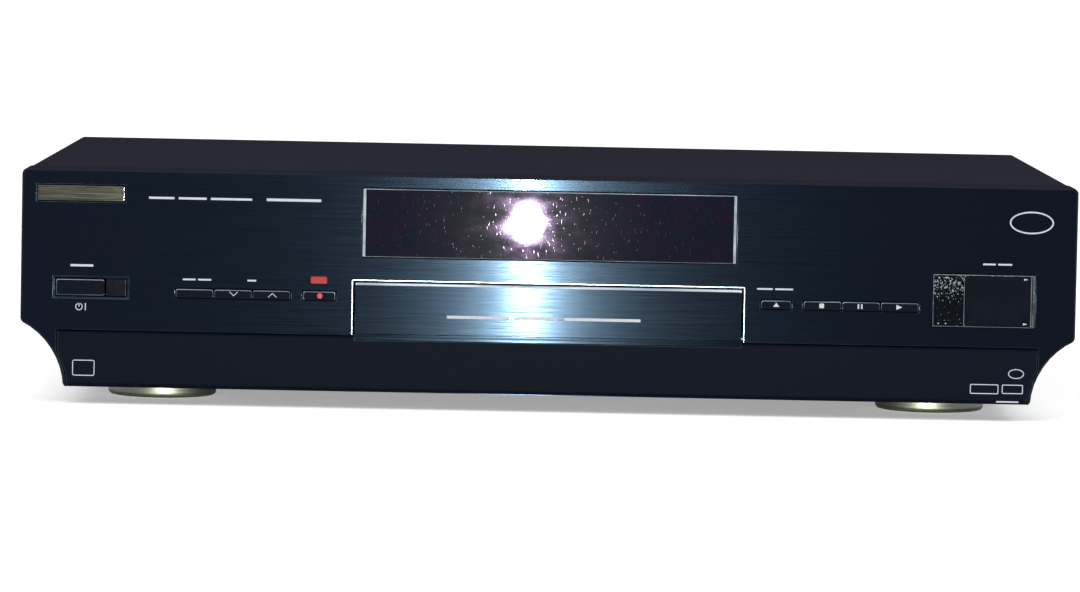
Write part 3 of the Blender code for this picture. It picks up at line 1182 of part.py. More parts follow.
def make_traverse(pivot):
    """The traverse frame with its rod blocks, screw bearings, resting tab and hinge pins."""
    plate = box((-TRAVERSE_HALF, TRAVERSE_FRONT_Y, PLATE_Z), (TRAVERSE_HALF, TRAVERSE_REAR_Y, PLATE_TOP_Z))
    window = box((-PICKUP_WINDOW_HALF, FRONT_BLOCK_Y + ROD_BLOCK, PLATE_Z - OVERRUN),
                 (PICKUP_WINDOW_HALF, REAR_BLOCK_Y, PLATE_TOP_Z + OVERRUN))
    hub_hole = cylinder((0, DISC_Y, PLATE_Z - OVERRUN), "Z", TRAVERSE_THICKNESS + 2 * OVERRUN,
                        TABLE_HUB_RADIUS + OVERRUN, 16)
    shape = cut(plate, together([window, hub_hole]))
    tab = box((-TAB_HALF, TRAVERSE_FRONT_Y - TAB_LENGTH, PLATE_TOP_Z - TAB_DROP),
              (TAB_HALF, TRAVERSE_FRONT_Y + TAB_LENGTH / 2, PLATE_TOP_Z + TRAVERSE_THICKNESS))
    blocks = []
    for side in (-1, 1):
        for y in (FRONT_BLOCK_Y, REAR_BLOCK_Y):
            x = side * ROD_X
            blocks.append(box((x - ROD_BLOCK_HALF, y, PLATE_Z + OVERRUN),
                              (x + ROD_BLOCK_HALF, y + ROD_BLOCK, ROD_Z + ROD_RADIUS + OVERRUN)))
    arms = []
    for side in (-1, 1):
        inner, outer = side * (TRAVERSE_HALF - HINGE_LUG_HALF * 2), side * TRAVERSE_HALF
        arms.append(box((min(inner, outer), TRAVERSE_REAR_Y - TAB_LENGTH, PLATE_Z - HINGE_LUG_HALF / 2),
                        (max(inner, outer), HINGE_Y + HINGE_LUG_HALF / 2, PLATE_Z + HINGE_LUG_HALF / 2)))
    pins = []
    for side in (-1, 1):
        start = -TRAVERSE_HALF - HINGE_PIN_LENGTH if side < 0 else TRAVERSE_HALF - OVERRUN
        pins.append(cylinder((start, HINGE_Y, HINGE_Z), "X", HINGE_PIN_LENGTH + OVERRUN, HINGE_PIN_RADIUS, 12))
    bearings = []
    for y in (FRONT_BLOCK_Y, REAR_BLOCK_Y):
        bearings.append(box((TRAVERSE_HALF - OVERRUN, y, SCREW_Z - BEARING_HALF),
                            (SCREW_X + BEARING_HALF, y + ROD_BLOCK, PLATE_TOP_Z - SEAT_GAP)))
    shape = united(shape, tab, together(blocks), together(arms), together(pins), together(bearings))
    screw_hole = cylinder((SCREW_X, FRONT_BLOCK_Y - OVERRUN, SCREW_Z), "Y",
                          REAR_BLOCK_Y - FRONT_BLOCK_Y + ROD_BLOCK + 2 * OVERRUN,
                          SCREW_JOURNAL_RADIUS + SPINDLE_BORE_GAP, 12)
    rod_holes = [cylinder((side * ROD_X, FRONT_BLOCK_Y - OVERRUN, ROD_Z), "Y",
                          REAR_BLOCK_Y - FRONT_BLOCK_Y + ROD_BLOCK + 2 * OVERRUN, ROD_RADIUS + ROD_SEAT, 12)
                 for side in (-1, 1)]
    shape = cut(shape, together([screw_hole, *rod_holes]))
    place("traverse_frame", shape, "cast_aluminium", pivot=pivot.location, parent=pivot)


def make_rods(pivot):
    """The two rods that guide the pickup."""
    for name, side in (("pickup_rod_left", -1), ("pickup_rod_right", 1)):
        shape = cylinder((side * ROD_X, FRONT_BLOCK_Y, ROD_Z), "Y", REAR_BLOCK_Y - FRONT_BLOCK_Y + ROD_BLOCK,
                         ROD_RADIUS, 12)
        place(name, shape, "polished_steel", pivot=(side * ROD_X, FRONT_BLOCK_Y, ROD_Z), parent=pivot)


def make_turntable(pivot):
    """The spindle motor under the traverse plate, and the turntable on its shaft."""
    top = PLATE_Z - SEAT_GAP
    low = top - SPINDLE_MOTOR_HEIGHT
    bore = SPINDLE_RADIUS + SPINDLE_BORE_GAP
    floor = low + SPINDLE_MOTOR_HEIGHT / 4
    profile = [(0, low), (SPINDLE_MOTOR_RADIUS, low), (SPINDLE_MOTOR_RADIUS, top), (bore, top),
               (bore, floor), (0, floor)]
    place("spindle_motor", turned(profile, (0, DISC_Y, 0), "Z", 24), "polished_steel",
          pivot=(0, DISC_Y, low), parent=pivot)
    table = BASE_Z + TABLE_RISE
    upper = table + TABLE_THICKNESS
    hub_low = PLATE_TOP_Z + RUN_GAP
    profile = [(0, floor + SEAT_GAP), (SPINDLE_RADIUS, floor + SEAT_GAP), (SPINDLE_RADIUS, hub_low),
               (TABLE_HUB_RADIUS, hub_low), (TABLE_HUB_RADIUS, table), (TABLE_RADIUS, table),
               (TABLE_RADIUS, upper), (SPIGOT_RADIUS, upper),
               (SPIGOT_RADIUS - SPIGOT_HEIGHT / 2, upper + SPIGOT_HEIGHT), (0, upper + SPIGOT_HEIGHT)]
    place("turntable", turned(profile, (0, DISC_Y, 0), "Z", 28), "grey_plastic",
          pivot=(0, DISC_Y, table), parent=pivot)


def make_pickup(pivot):
    """The optical pickup on its rods, at the inner end of its travel."""
    middle = DISC_Y + PICKUP_INNER
    front, rear = middle - PICKUP_LENGTH / 2, middle + PICKUP_LENGTH / 2
    body = box((-PICKUP_HALF, front, BASE_Z + PICKUP_LOW_RISE), (PICKUP_HALF, rear, BASE_Z + PICKUP_TOP_RISE))
    ear_low = PLATE_TOP_Z + RUN_GAP
    ear_top = ROD_Z + ROD_RADIUS + PICKUP_EAR_WALL
    ears = []
    for side in (-1, 1):
        inner, outer = side * (PICKUP_HALF - OVERRUN), side * (ROD_X + ROD_BLOCK_HALF)
        ears.append(box((min(inner, outer), front + OVERRUN, ear_low),
                        (max(inner, outer), rear - OVERRUN, ear_top)))
    lens_foot = (0, middle - LENS_FORWARD, BASE_Z + PICKUP_TOP_RISE - OVERRUN)
    lens = cylinder(lens_foot, "Z", LENS_HEIGHT + OVERRUN, LENS_RADIUS, 20)
    arm = box((ROD_X, middle - ROD_BLOCK, ear_low),
              (SCREW_X + SCREW_CORE_RADIUS, middle + ROD_BLOCK, ear_low + PICKUP_EAR_WALL))
    shape = united(body, together(ears), lens, arm)
    holes = [cylinder((side * ROD_X, front, ROD_Z), "Y", PICKUP_LENGTH, ROD_RADIUS + ROD_SEAT, 12)
             for side in (-1, 1)]
    shape = cut(shape, together(holes))
    place("optical_pickup", shape, "black_plastic", pivot=(0, middle, ROD_Z), parent=pivot)


def make_lead_screw(pivot):
    """The lead screw beside the right rod: a helical thread on a core, with a plain journal at each end."""
    start = FRONT_BLOCK_Y + ROD_BLOCK + SEAT_GAP
    length = REAR_BLOCK_Y - SEAT_GAP - start
    rings = math.ceil(length / SCREW_LEAD * SCREW_STEPS)
    shape = bmesh.new()
    grid = []
    for ring in range(rings + 1):
        y = start + length * ring / rings
        row = []
        for side in range(SCREW_SIDES):
            phase = (ring / SCREW_STEPS + side / SCREW_SIDES) % 1
            radius = SCREW_CORE_RADIUS + SCREW_THREAD_HEIGHT * (1 - abs(2 * phase - 1))
            angle = TURN * side / SCREW_SIDES
            row.append(shape.verts.new((SCREW_X + radius * math.cos(angle), y,
                                        SCREW_Z + radius * math.sin(angle))))
        grid.append(row)
    for low, high in zip(grid, grid[1:]):
        for side in range(SCREW_SIDES):
            other = (side + 1) % SCREW_SIDES
            shape.faces.new((low[side], low[other], high[other], high[side]))
    shape.faces.new(grid[0])
    shape.faces.new(grid[-1])
    bmesh.ops.recalc_face_normals(shape, faces=shape.faces)
    journals = cylinder((SCREW_X, FRONT_BLOCK_Y, SCREW_Z), "Y", REAR_BLOCK_Y + ROD_BLOCK - FRONT_BLOCK_Y,
                        SCREW_JOURNAL_RADIUS, 8)
    place("lead_screw", united(shape, journals), "polished_steel",
          pivot=(SCREW_X, FRONT_BLOCK_Y, SCREW_Z), parent=pivot)
    motor = cylinder((SCREW_X, REAR_BLOCK_Y + ROD_BLOCK + SEAT_GAP, SCREW_Z), "Y", FEED_MOTOR_LENGTH,
                     FEED_MOTOR_RADIUS, 16)
    place("feed_motor", motor, "polished_steel",
          pivot=(SCREW_X, REAR_BLOCK_Y + ROD_BLOCK, SCREW_Z), parent=pivot)


# Hard disk, between the drive and the right wall
DISK_SIDE_GAP = 17.5 * MM
DISK_LENGTH_SHARE = 1.447
DISK_HEIGHT = 26.1 * MM
DISK_REAR_GAP = 73.0 * MM
DISK_RISE = 6.3 * MM
DISK_WALL = 3.0 * MM
DISK_FLOOR = 4.0 * MM
DISK_COVER = 5.0 * MM
PLATTER_GAP = 1.3 * MM
PLATTER_THICKNESS = 1.3 * MM
PLATTER_RISE = 7.0 * MM
PLATTER_SPACING = 6.0 * MM
PLATTER_HUB_RADIUS = 12.0 * MM
ARM_LENGTH_SHARE = 1.075
ARM_HUB_RADIUS = 8.0 * MM
ARM_THICKNESS = 2.0 * MM
ARM_TIP_HALF = 3.0 * MM
ARM_PIVOT_X_SHARE = 0.19
ARM_PIVOT_Y_SHARE = 0.76
ARM_PARK_ANGLE = math.radians(14.0)
POST_RADIUS = 3.0 * MM

DISK_X = (DRIVE_HALF + PAN_HALF) / 2
DISK_WIDTH = PAN_HALF - DRIVE_HALF - 2 * DISK_SIDE_GAP
DISK_LENGTH = DISK_LENGTH_SHARE * DISK_WIDTH
DISK_FRONT_Y = REAR_PANEL_Y - DISK_REAR_GAP - DISK_LENGTH
PLATTER_RADIUS = DISK_WIDTH / 2 - DISK_WALL - PLATTER_GAP
ARM_LENGTH = ARM_LENGTH_SHARE * PLATTER_RADIUS
DISK_Z = BASE_Z + DISK_RISE
PLATTER_Y = DISK_FRONT_Y + DISK_WIDTH / 2
ARM_X = DISK_X - DISK_WIDTH / 2 + ARM_PIVOT_X_SHARE * DISK_WIDTH
ARM_Y = DISK_FRONT_Y + ARM_PIVOT_Y_SHARE * DISK_LENGTH
ARM_Z = DISK_Z + PLATTER_RISE + PLATTER_THICKNESS + (PLATTER_SPACING - PLATTER_THICKNESS - ARM_THICKNESS) / 2


def make_hard_disk():
    """The hard disk: its cast case, cover, platters on their hub, and the arm between them."""
    half = DISK_WIDTH / 2
    low = (DISK_X - half, DISK_FRONT_Y, DISK_Z)
    top = DISK_Z + DISK_HEIGHT - DISK_COVER
    case = box(low, (DISK_X + half, DISK_FRONT_Y + DISK_LENGTH, top))
    room = box((DISK_X - half + DISK_WALL, DISK_FRONT_Y + DISK_WALL, DISK_Z + DISK_FLOOR),
               (DISK_X + half - DISK_WALL, DISK_FRONT_Y + DISK_LENGTH - DISK_WALL, top + OVERRUN))
    posts = [cylinder((DISK_X, PLATTER_Y, DISK_Z + DISK_FLOOR / 2), "Z", DISK_FLOOR / 2 + PLATTER_RISE,
                      POST_RADIUS, 12),
             cylinder((ARM_X, ARM_Y, DISK_Z + DISK_FLOOR / 2), "Z",
                      ARM_Z + ARM_THICKNESS - DISK_Z - DISK_FLOOR / 2, POST_RADIUS, 12)]
    place("hard_disk_case", united(cut(case, room), together(posts)), "cast_aluminium")
    cover = box((DISK_X - half, DISK_FRONT_Y, top + SEAT_GAP),
                (DISK_X + half, DISK_FRONT_Y + DISK_LENGTH, DISK_Z + DISK_HEIGHT))
    place("hard_disk_cover", cover, "polished_steel")
    first = DISK_Z + PLATTER_RISE
    second = first + PLATTER_SPACING
    hub_low, hub_top = DISK_Z + DISK_FLOOR + SEAT_GAP, second + 2 * PLATTER_THICKNESS
    bore = POST_RADIUS + SPINDLE_BORE_GAP
    roof = hub_top - PLATTER_THICKNESS / 2
    profile = [(bore, hub_low), (PLATTER_HUB_RADIUS, hub_low), (PLATTER_HUB_RADIUS, first),
               (PLATTER_RADIUS, first), (PLATTER_RADIUS, first + PLATTER_THICKNESS),
               (PLATTER_HUB_RADIUS, first + PLATTER_THICKNESS), (PLATTER_HUB_RADIUS, second),
               (PLATTER_RADIUS, second), (PLATTER_RADIUS, second + PLATTER_THICKNESS),
               (PLATTER_HUB_RADIUS, second + PLATTER_THICKNESS), (PLATTER_HUB_RADIUS, roof), (bore, roof)]
    place("hard_disk_platters", turned(profile, (DISK_X, PLATTER_Y, 0), "Z", 40), "polished_steel",
          pivot=(DISK_X, PLATTER_Y, first))
    make_disk_arm()


def make_disk_arm():
    """The arm on its post, its tip between the platters beside their hub."""
    aim = math.atan2(PLATTER_Y - ARM_Y, DISK_X - ARM_X) - ARM_PARK_ANGLE
    ahead = Vector((math.cos(aim), math.sin(aim)))
    across = Vector((-ahead.y, ahead.x))
    pivot = Vector((ARM_X, ARM_Y))
    outline = [pivot - across * ARM_HUB_RADIUS, pivot + ahead * ARM_LENGTH - across * ARM_TIP_HALF,
               pivot + ahead * ARM_LENGTH + across * ARM_TIP_HALF, pivot + across * ARM_HUB_RADIUS]
    blade = prism([tuple(point) for point in outline], "Z", ARM_Z, ARM_Z + ARM_THICKNESS)
    hub = cylinder((ARM_X, ARM_Y, DISK_Z + DISK_FLOOR + SEAT_GAP), "Z",
                   ARM_Z + 2 * ARM_THICKNESS - DISK_Z - DISK_FLOOR, ARM_HUB_RADIUS, 16)
    bore = cylinder((ARM_X, ARM_Y, DISK_Z), "Z", DISK_HEIGHT, POST_RADIUS + SPINDLE_BORE_GAP, 12)
    place("hard_disk_arm", cut(united(blade, hub), bore), "cast_aluminium", pivot=(ARM_X, ARM_Y, ARM_Z))


# Boards, power supply and what shows at the rear
PAN_BOSS_RADIUS = 3.5 * MM
MAIN_BOARD_GAP = 16.0 * MM
MAIN_BOARD_LEFT = 92.0 * MM
MAIN_BOARD_RIGHT = 86.0 * MM
MAIN_BOARD_RISE = 12.0 * MM
CHIP_SIZE = 28.0 * MM
CHIP_HEIGHT = 2.4 * MM
POWER_BOARD_SHARE = 0.717
POWER_BOARD_LENGTH = 150.0 * MM
POWER_BOARD_RISE = 10.0 * MM
POWER_BOARD_SIDE_GAP = 16.0 * MM
POWER_BOARD_REAR_GAP = 36.0 * MM
TRANSFORMER_SIZE = 34.0 * MM
TRANSFORMER_HEIGHT = 30.0 * MM
CAPACITOR_RADIUS = 10.0 * MM
CAPACITOR_HEIGHT = 32.0 * MM
SINK_THICKNESS = 2.5 * MM
SINK_LENGTH = 50.0 * MM
SINK_HEIGHT = 36.0 * MM
RCA_COLUMNS = 6
RCA_PITCH = 16.0 * MM
RCA_ROW_RISE = (26.0 * MM, 44.0 * MM)
RCA_LENGTH = 8.0 * MM
JACK_BLOCK_DEPTH = 14.0 * MM
JACK_BLOCK_MARGIN = 9.0 * MM
JACK_BLOCK_RIGHT = 84.0 * MM
TUNER_WIDTH = 40.0 * MM
TUNER_HEIGHT = 34.0 * MM
TUNER_LENGTH = 52.0 * MM
TUNER_RIGHT = -50.0 * MM
AERIAL_RADIUS = 4.7 * MM
AERIAL_BORE_RADIUS = 1.8 * MM
AERIAL_SPACING = 17.0 * MM
FAN_SIZE = 60.0 * MM
FAN_DEPTH = 15.0 * MM
FAN_RISE = 12.0 * MM
FAN_SIDE_GAP = 14.0 * MM
FAN_BORE_RADIUS = 28.0 * MM
FAN_HUB_RADIUS = 12.0 * MM
FAN_BLADES = 7
FAN_BLADE_THICKNESS = 1.4 * MM
FAN_STRUT = 2.4 * MM
INLET_WIDTH = 27.0 * MM
INLET_HEIGHT = 18.0 * MM
INLET_DEPTH = 20.0 * MM
INLET_RISE = 18.0 * MM
INLET_SIDE_GAP = 22.0 * MM
INLET_ROOM_WIDTH = 17.0 * MM
INLET_ROOM_HEIGHT = 9.0 * MM
INLET_ROOM_DEPTH = 12.0 * MM
INLET_PIN_SPACING = 8.6 * MM
INLET_PIN_RADIUS = 1.2 * MM
INLET_PIN_LENGTH = 7.0 * MM
INLET_FLANGE = 2.5 * MM
GRILLE_SLOTS = 9
GRILLE_SLOT_WIDTH = 3.0 * MM

BOARD_TOP_Z = BASE_Z + MAIN_BOARD_RISE + BOARD_THICKNESS
MAIN_BOARD_FRONT_Y = DRIVE_REAR_Y + MAIN_BOARD_GAP
MAIN_BOARD_REAR_Y = REAR_PANEL_Y - OVERRUN
POWER_LEFT = -PAN_HALF + SHEET + POWER_BOARD_SIDE_GAP
POWER_RIGHT = POWER_LEFT + POWER_BOARD_SHARE * (PAN_HALF - DRIVE_HALF)
POWER_REAR_Y = REAR_PANEL_Y - POWER_BOARD_REAR_GAP
POWER_FRONT_Y = POWER_REAR_Y - POWER_BOARD_LENGTH
FAN_LEFT = -PAN_HALF + SHEET + FAN_SIDE_GAP
FAN_X = FAN_LEFT + FAN_SIZE / 2
FAN_Z = BASE_Z + FAN_RISE + FAN_SIZE / 2
FAN_FRONT_Y = REAR_PANEL_Y - SEAT_GAP - FAN_DEPTH
INLET_X = PAN_HALF - SHEET - INLET_SIDE_GAP - INLET_WIDTH / 2
INLET_Z = BASE_Z + INLET_RISE + INLET_HEIGHT / 2
BLOCK_RIGHT = JACK_BLOCK_RIGHT
BLOCK_LEFT = BLOCK_RIGHT - (RCA_COLUMNS - 1) * RCA_PITCH - 2 * JACK_BLOCK_MARGIN
BLOCK_TOP_Z = BASE_Z + RCA_ROW_RISE[1] + JACK_BLOCK_MARGIN


def inset_corners(low_x, high_x, low_y, high_y, inset):
    """Four boss places inside a rectangle."""
    return [(x, y) for x in (low_x + inset, high_x - inset) for y in (low_y + inset, high_y - inset)]


def pan_bosses():
    """Each boss on the pan's floor: its place, and the height of what rests on it."""
    inset = 2 * PAN_BOSS_RADIUS
    half = DISK_WIDTH / 2
    groups = (
        ((-DRIVE_HALF, DRIVE_HALF, COVER_FRONT_Y, DRIVE_REAR_Y), DRIVE_BOTTOM_Z),
        ((DISK_X - half, DISK_X + half, DISK_FRONT_Y, DISK_FRONT_Y + DISK_LENGTH), DISK_Z),
        ((-MAIN_BOARD_LEFT, MAIN_BOARD_RIGHT, MAIN_BOARD_FRONT_Y, MAIN_BOARD_REAR_Y), BASE_Z + MAIN_BOARD_RISE),
        ((POWER_LEFT, POWER_RIGHT, POWER_FRONT_Y, POWER_REAR_Y), BASE_Z + POWER_BOARD_RISE),
    )
    bosses = []
    for corners, height in groups:
        bosses += [(x, y, height) for x, y in inset_corners(*corners, inset)]
    return bosses


def make_main_board():
    """The main board with its larger chips."""
    low, top = BASE_Z + MAIN_BOARD_RISE, BOARD_TOP_Z
    shape = box((-MAIN_BOARD_LEFT, MAIN_BOARD_FRONT_Y, low), (MAIN_BOARD_RIGHT, MAIN_BOARD_REAR_Y, top))
    chips = []
    for x_share, y_share, size_share in ((0.55, 0.42, 1.0), (0.78, 0.30, 0.7), (0.36, 0.25, 0.6)):
        x = -MAIN_BOARD_LEFT + x_share * (MAIN_BOARD_LEFT + MAIN_BOARD_RIGHT)
        y = MAIN_BOARD_FRONT_Y + y_share * (MAIN_BOARD_REAR_Y - MAIN_BOARD_FRONT_Y)
        half = CHIP_SIZE * size_share / 2
        chips.append(box((x - half, y - half, low + BOARD_THICKNESS / 2),
                         (x + half, y + half, top + CHIP_HEIGHT)))
    place("main_board", united(shape, together(chips)), "circuit_green")


def make_power_board():
    """The power supply board with its transformer, capacitors and heat sink."""
    low = BASE_Z + POWER_BOARD_RISE
    top = low + BOARD_THICKNESS
    inside = low + BOARD_THICKNESS / 2
    shape = box((POWER_LEFT, POWER_FRONT_Y, low), (POWER_RIGHT, POWER_REAR_Y, top))
    middle = (POWER_LEFT + POWER_RIGHT) / 2
    half = TRANSFORMER_SIZE / 2
    y = POWER_FRONT_Y + POWER_BOARD_LENGTH / 2
    transformer = box((middle - half, y - half, inside), (middle + half, y + half, top + TRANSFORMER_HEIGHT))
    capacitors = [cylinder((x, POWER_FRONT_Y + 2 * CAPACITOR_RADIUS, inside), "Z",
                           CAPACITOR_HEIGHT, CAPACITOR_RADIUS, 16)
                  for x in (middle - 1.3 * CAPACITOR_RADIUS, middle + 1.3 * CAPACITOR_RADIUS)]
    sink_y = POWER_REAR_Y - 2 * CAPACITOR_RADIUS
    sink = box((middle - SINK_LENGTH / 2, sink_y, inside),
               (middle + SINK_LENGTH / 2, sink_y + SINK_THICKNESS, top + SINK_HEIGHT))
    fins = [box((middle + share * SINK_LENGTH, sink_y + SINK_THICKNESS / 2, inside),
                (middle + share * SINK_LENGTH + SINK_THICKNESS / 2, sink_y + 4 * SINK_THICKNESS,
                 top + SINK_HEIGHT - SINK_THICKNESS)) for share in (-0.4, -0.2, 0.0, 0.2, 0.4)]
    sink = united(sink, together(fins))
    place("power_board", united(shape, together([transformer, *capacitors]), sink), "circuit_green")


def make_rear_jacks():
    """The block of round jacks on the main board's rear edge, and the tuner with its aerial sockets."""
    front = REAR_PANEL_Y - JACK_BLOCK_DEPTH
    shape = box((BLOCK_LEFT, front, BOARD_TOP_Z + SEAT_GAP), (BLOCK_RIGHT, REAR_PANEL_Y + SHEET, BLOCK_TOP_Z))
    shells, bores = [], []
    for rise in RCA_ROW_RISE:
        for column in range(RCA_COLUMNS):
            x = BLOCK_LEFT + JACK_BLOCK_MARGIN + column * RCA_PITCH
            z = BASE_Z + rise
            shells.append(cylinder((x, REAR_PANEL_Y, z), "Y", RCA_LENGTH, JACK_SHELL_RADIUS, 14))
            bores.append(cylinder((x, REAR_PANEL_Y + SHEET, z), "Y", RCA_LENGTH, JACK_BORE_RADIUS, 8))
    shape = cut(united(shape, together(shells)), together(bores))
    place("rear_jack_block", shape, "black_plastic")
    rear = REAR_PANEL_Y - SEAT_GAP
    low = BOARD_TOP_Z + SEAT_GAP
    can = box((TUNER_RIGHT - TUNER_WIDTH, rear - TUNER_LENGTH, low), (TUNER_RIGHT, rear, low + TUNER_HEIGHT))
    sockets, bores = [], []
    for x, z in aerial_places():
        sockets.append(cylinder((x, rear - OVERRUN, z), "Y", REAR_Y - rear + OVERRUN, AERIAL_RADIUS, 18))
        bores.append(cylinder((x, rear, z), "Y", REAR_Y - rear + OVERRUN, AERIAL_BORE_RADIUS, 10))
    shape = cut(united(can, together(sockets)), together(bores))
    place("tuner_module", shape, "zinc_steel")


def aerial_places():
    """The two aerial sockets' centres in X and Z."""
    x = TUNER_RIGHT - TUNER_WIDTH / 2
    z = BOARD_TOP_Z + TUNER_HEIGHT / 2
    return [(x, z - AERIAL_SPACING / 2), (x, z + AERIAL_SPACING / 2)]


def make_mains_inlet():
    """The mains inlet: a flanged body behind the rear panel, a socket room and two pins."""
    rear = REAR_PANEL_Y + SHEET
    half, high = INLET_WIDTH / 2, INLET_HEIGHT / 2
    body = box((INLET_X - half, rear - INLET_DEPTH, INLET_Z - high), (INLET_X + half, rear, INLET_Z + high))
    wide, tall = half + INLET_FLANGE, high + INLET_FLANGE
    flange = box((INLET_X - wide, REAR_PANEL_Y - SEAT_GAP - SHEET, INLET_Z - tall),
                 (INLET_X + wide, REAR_PANEL_Y - SEAT_GAP, INLET_Z + tall))
    room = prism(rounded_rectangle((INLET_X - INLET_ROOM_WIDTH / 2, INLET_Z - INLET_ROOM_HEIGHT / 2),
                                   (INLET_X + INLET_ROOM_WIDTH / 2, INLET_Z + INLET_ROOM_HEIGHT / 2),
                                   INLET_ROOM_HEIGHT / 3, 3), "Y", rear - INLET_ROOM_DEPTH, rear + OVERRUN)
    pins = [cylinder((INLET_X + side * INLET_PIN_SPACING / 2, rear - INLET_ROOM_DEPTH - OVERRUN, INLET_Z), "Y",
                     INLET_PIN_LENGTH + OVERRUN, INLET_PIN_RADIUS, 10) for side in (-1, 1)]
    place("mains_inlet", united(cut(united(body, flange), room), together(pins)), "black_plastic")


def make_rear_panel():
    """The rear plate with its openings for the jack block, the aerials, the inlet and the fan."""
    half = PAN_HALF - SHEET - SEAT_GAP
    front = REAR_PANEL_Y
    low, top = PAN_FLOOR_Z + RUN_GAP, COVER_TOP_Z - SHEET - SEAT_GAP
    radius = COVER_CORNER_RADIUS
    corners = [(-half, low, 0), (half, low, 0), (half, top, radius), (-half, top, radius)]
    shape = prism(rounded_corners(corners, ROUND_STEPS), "Y", front, front + SHEET)
    corner = half - (PAN_HALF - cove_arc(COVER_INSET + SHEET, PAN_HALF - SHEET, PAN_FLOOR_Z)[0][0])
    tools = []
    for side in (-1, 1):
        arc = [(side * x, z) for x, z in cove_arc(COVER_INSET + SHEET + SEAT_GAP, half, PAN_FLOOR_Z)]
        outline = [(side * (corner - COVE_RADIUS), PAN_FLOOR_Z - OVERRUN), (arc[0][0], PAN_FLOOR_Z - OVERRUN),
                   *arc, (side * (half + OVERRUN), arc[-1][1]),
                   (side * (half + OVERRUN), PAN_FLOOR_Z - 2 * OVERRUN),
                   (side * (corner - COVE_RADIUS), PAN_FLOOR_Z - 2 * OVERRUN)]
        tools.append(prism(outline, "Y", front - OVERRUN, front + SHEET + OVERRUN))
    back = front + SHEET + OVERRUN
    block = box((BLOCK_LEFT - SEAT_GAP, front - OVERRUN, BOARD_TOP_Z),
                (BLOCK_RIGHT + SEAT_GAP, back, BLOCK_TOP_Z + SEAT_GAP))
    inlet = box((INLET_X - INLET_WIDTH / 2 - SEAT_GAP, front - OVERRUN, INLET_Z - INLET_HEIGHT / 2 - SEAT_GAP),
                (INLET_X + INLET_WIDTH / 2 + SEAT_GAP, back, INLET_Z + INLET_HEIGHT / 2 + SEAT_GAP))
    aerials = [cylinder((x, front - OVERRUN, z), "Y", SHEET + 2 * OVERRUN, AERIAL_RADIUS + SEAT_GAP, 18)
               for x, z in aerial_places()]
    grille = []
    for index in range(GRILLE_SLOTS):
        x = FAN_X + (index - (GRILLE_SLOTS - 1) / 2) * 2 * GRILLE_SLOT_WIDTH
        reach = math.sqrt(FAN_BORE_RADIUS ** 2 - (x - FAN_X) ** 2)
        grille.append(box((x - GRILLE_SLOT_WIDTH / 2, front - OVERRUN, FAN_Z - reach),
                          (x + GRILLE_SLOT_WIDTH / 2, back, FAN_Z + reach)))
    shape = cut(shape, *tools, together([block, inlet, *aerials, *grille]))
    place("rear_panel", shape, "zinc_steel")


def make_fan():
    """The fan: its housing with a hub on three struts, and the rotor."""
    low = (FAN_X - FAN_SIZE / 2, FAN_FRONT_Y, FAN_Z - FAN_SIZE / 2)
    high = (FAN_X + FAN_SIZE / 2, FAN_FRONT_Y + FAN_DEPTH, FAN_Z + FAN_SIZE / 2)
    bore = cylinder((FAN_X, FAN_FRONT_Y - OVERRUN, FAN_Z), "Y", FAN_DEPTH + 2 * OVERRUN, FAN_BORE_RADIUS, 36)
    shape = cut(box(low, high), bore)
    strut_back = FAN_FRONT_Y + FAN_STRUT
    struts = []
    for index in range(3):
        angle = TURN * index / 3 + math.pi / 2
        strut = box((0, FAN_FRONT_Y, -FAN_STRUT / 2), (FAN_BORE_RADIUS + OVERRUN, strut_back, FAN_STRUT / 2))
        bmesh.ops.rotate(strut, cent=(0, 0, 0), matrix=Matrix.Rotation(angle, 3, "Y"), verts=strut.verts)
        bmesh.ops.translate(strut, vec=(FAN_X, 0, FAN_Z), verts=strut.verts)
        struts.append(strut)
    hub = cylinder((FAN_X, FAN_FRONT_Y, FAN_Z), "Y", FAN_STRUT, FAN_HUB_RADIUS, 18)
    shaft = cylinder((FAN_X, FAN_FRONT_Y + FAN_STRUT / 2, FAN_Z), "Y", FAN_DEPTH / 2, SPINDLE_RADIUS, 10)
    place("fan_housing", united(shape, *struts, hub, shaft), "black_plastic")
    front = strut_back + RUN_GAP
    back = FAN_FRONT_Y + FAN_DEPTH - OVERRUN
    rotor = cylinder((FAN_X, front, FAN_Z), "Y", back - front, FAN_HUB_RADIUS, 21)
    blades = []
    for index in range(FAN_BLADES):
        angle = TURN * index / FAN_BLADES
        blade = box((FAN_HUB_RADIUS - OVERRUN, front, -FAN_BLADE_THICKNESS / 2),
                    (FAN_BORE_RADIUS - OVERRUN, back, FAN_BLADE_THICKNESS / 2))
        middle = (FAN_HUB_RADIUS + FAN_BORE_RADIUS) / 2
        bmesh.ops.rotate(blade, cent=(middle, (front + back) / 2, 0),
                         matrix=Matrix.Rotation(math.radians(32), 3, "X"), verts=blade.verts)
        bmesh.ops.rotate(blade, cent=(0, 0, 0), matrix=Matrix.Rotation(angle, 3, "Y"), verts=blade.verts)
        bmesh.ops.translate(blade, vec=(FAN_X, 0, FAN_Z), verts=blade.verts)
        blades.append(blade)
    bore = cylinder((FAN_X, front - OVERRUN, FAN_Z), "Y", FAN_DEPTH / 2 + OVERRUN,
                    SPINDLE_RADIUS + SPINDLE_BORE_GAP, 10)
    rotor = cut(united(rotor, together(blades)), bore)
    place("fan_rotor", rotor, "grey_plastic", pivot=(FAN_X, front, FAN_Z))


# Ribbon cable from the drive's rear wall down to the main board
RIBBON_WIDTH = 32.0 * MM
RIBBON_THICKNESS = 0.5 * MM
RIBBON_BEND = 5.0 * MM
RIBBON_RISE = 30.0 * MM


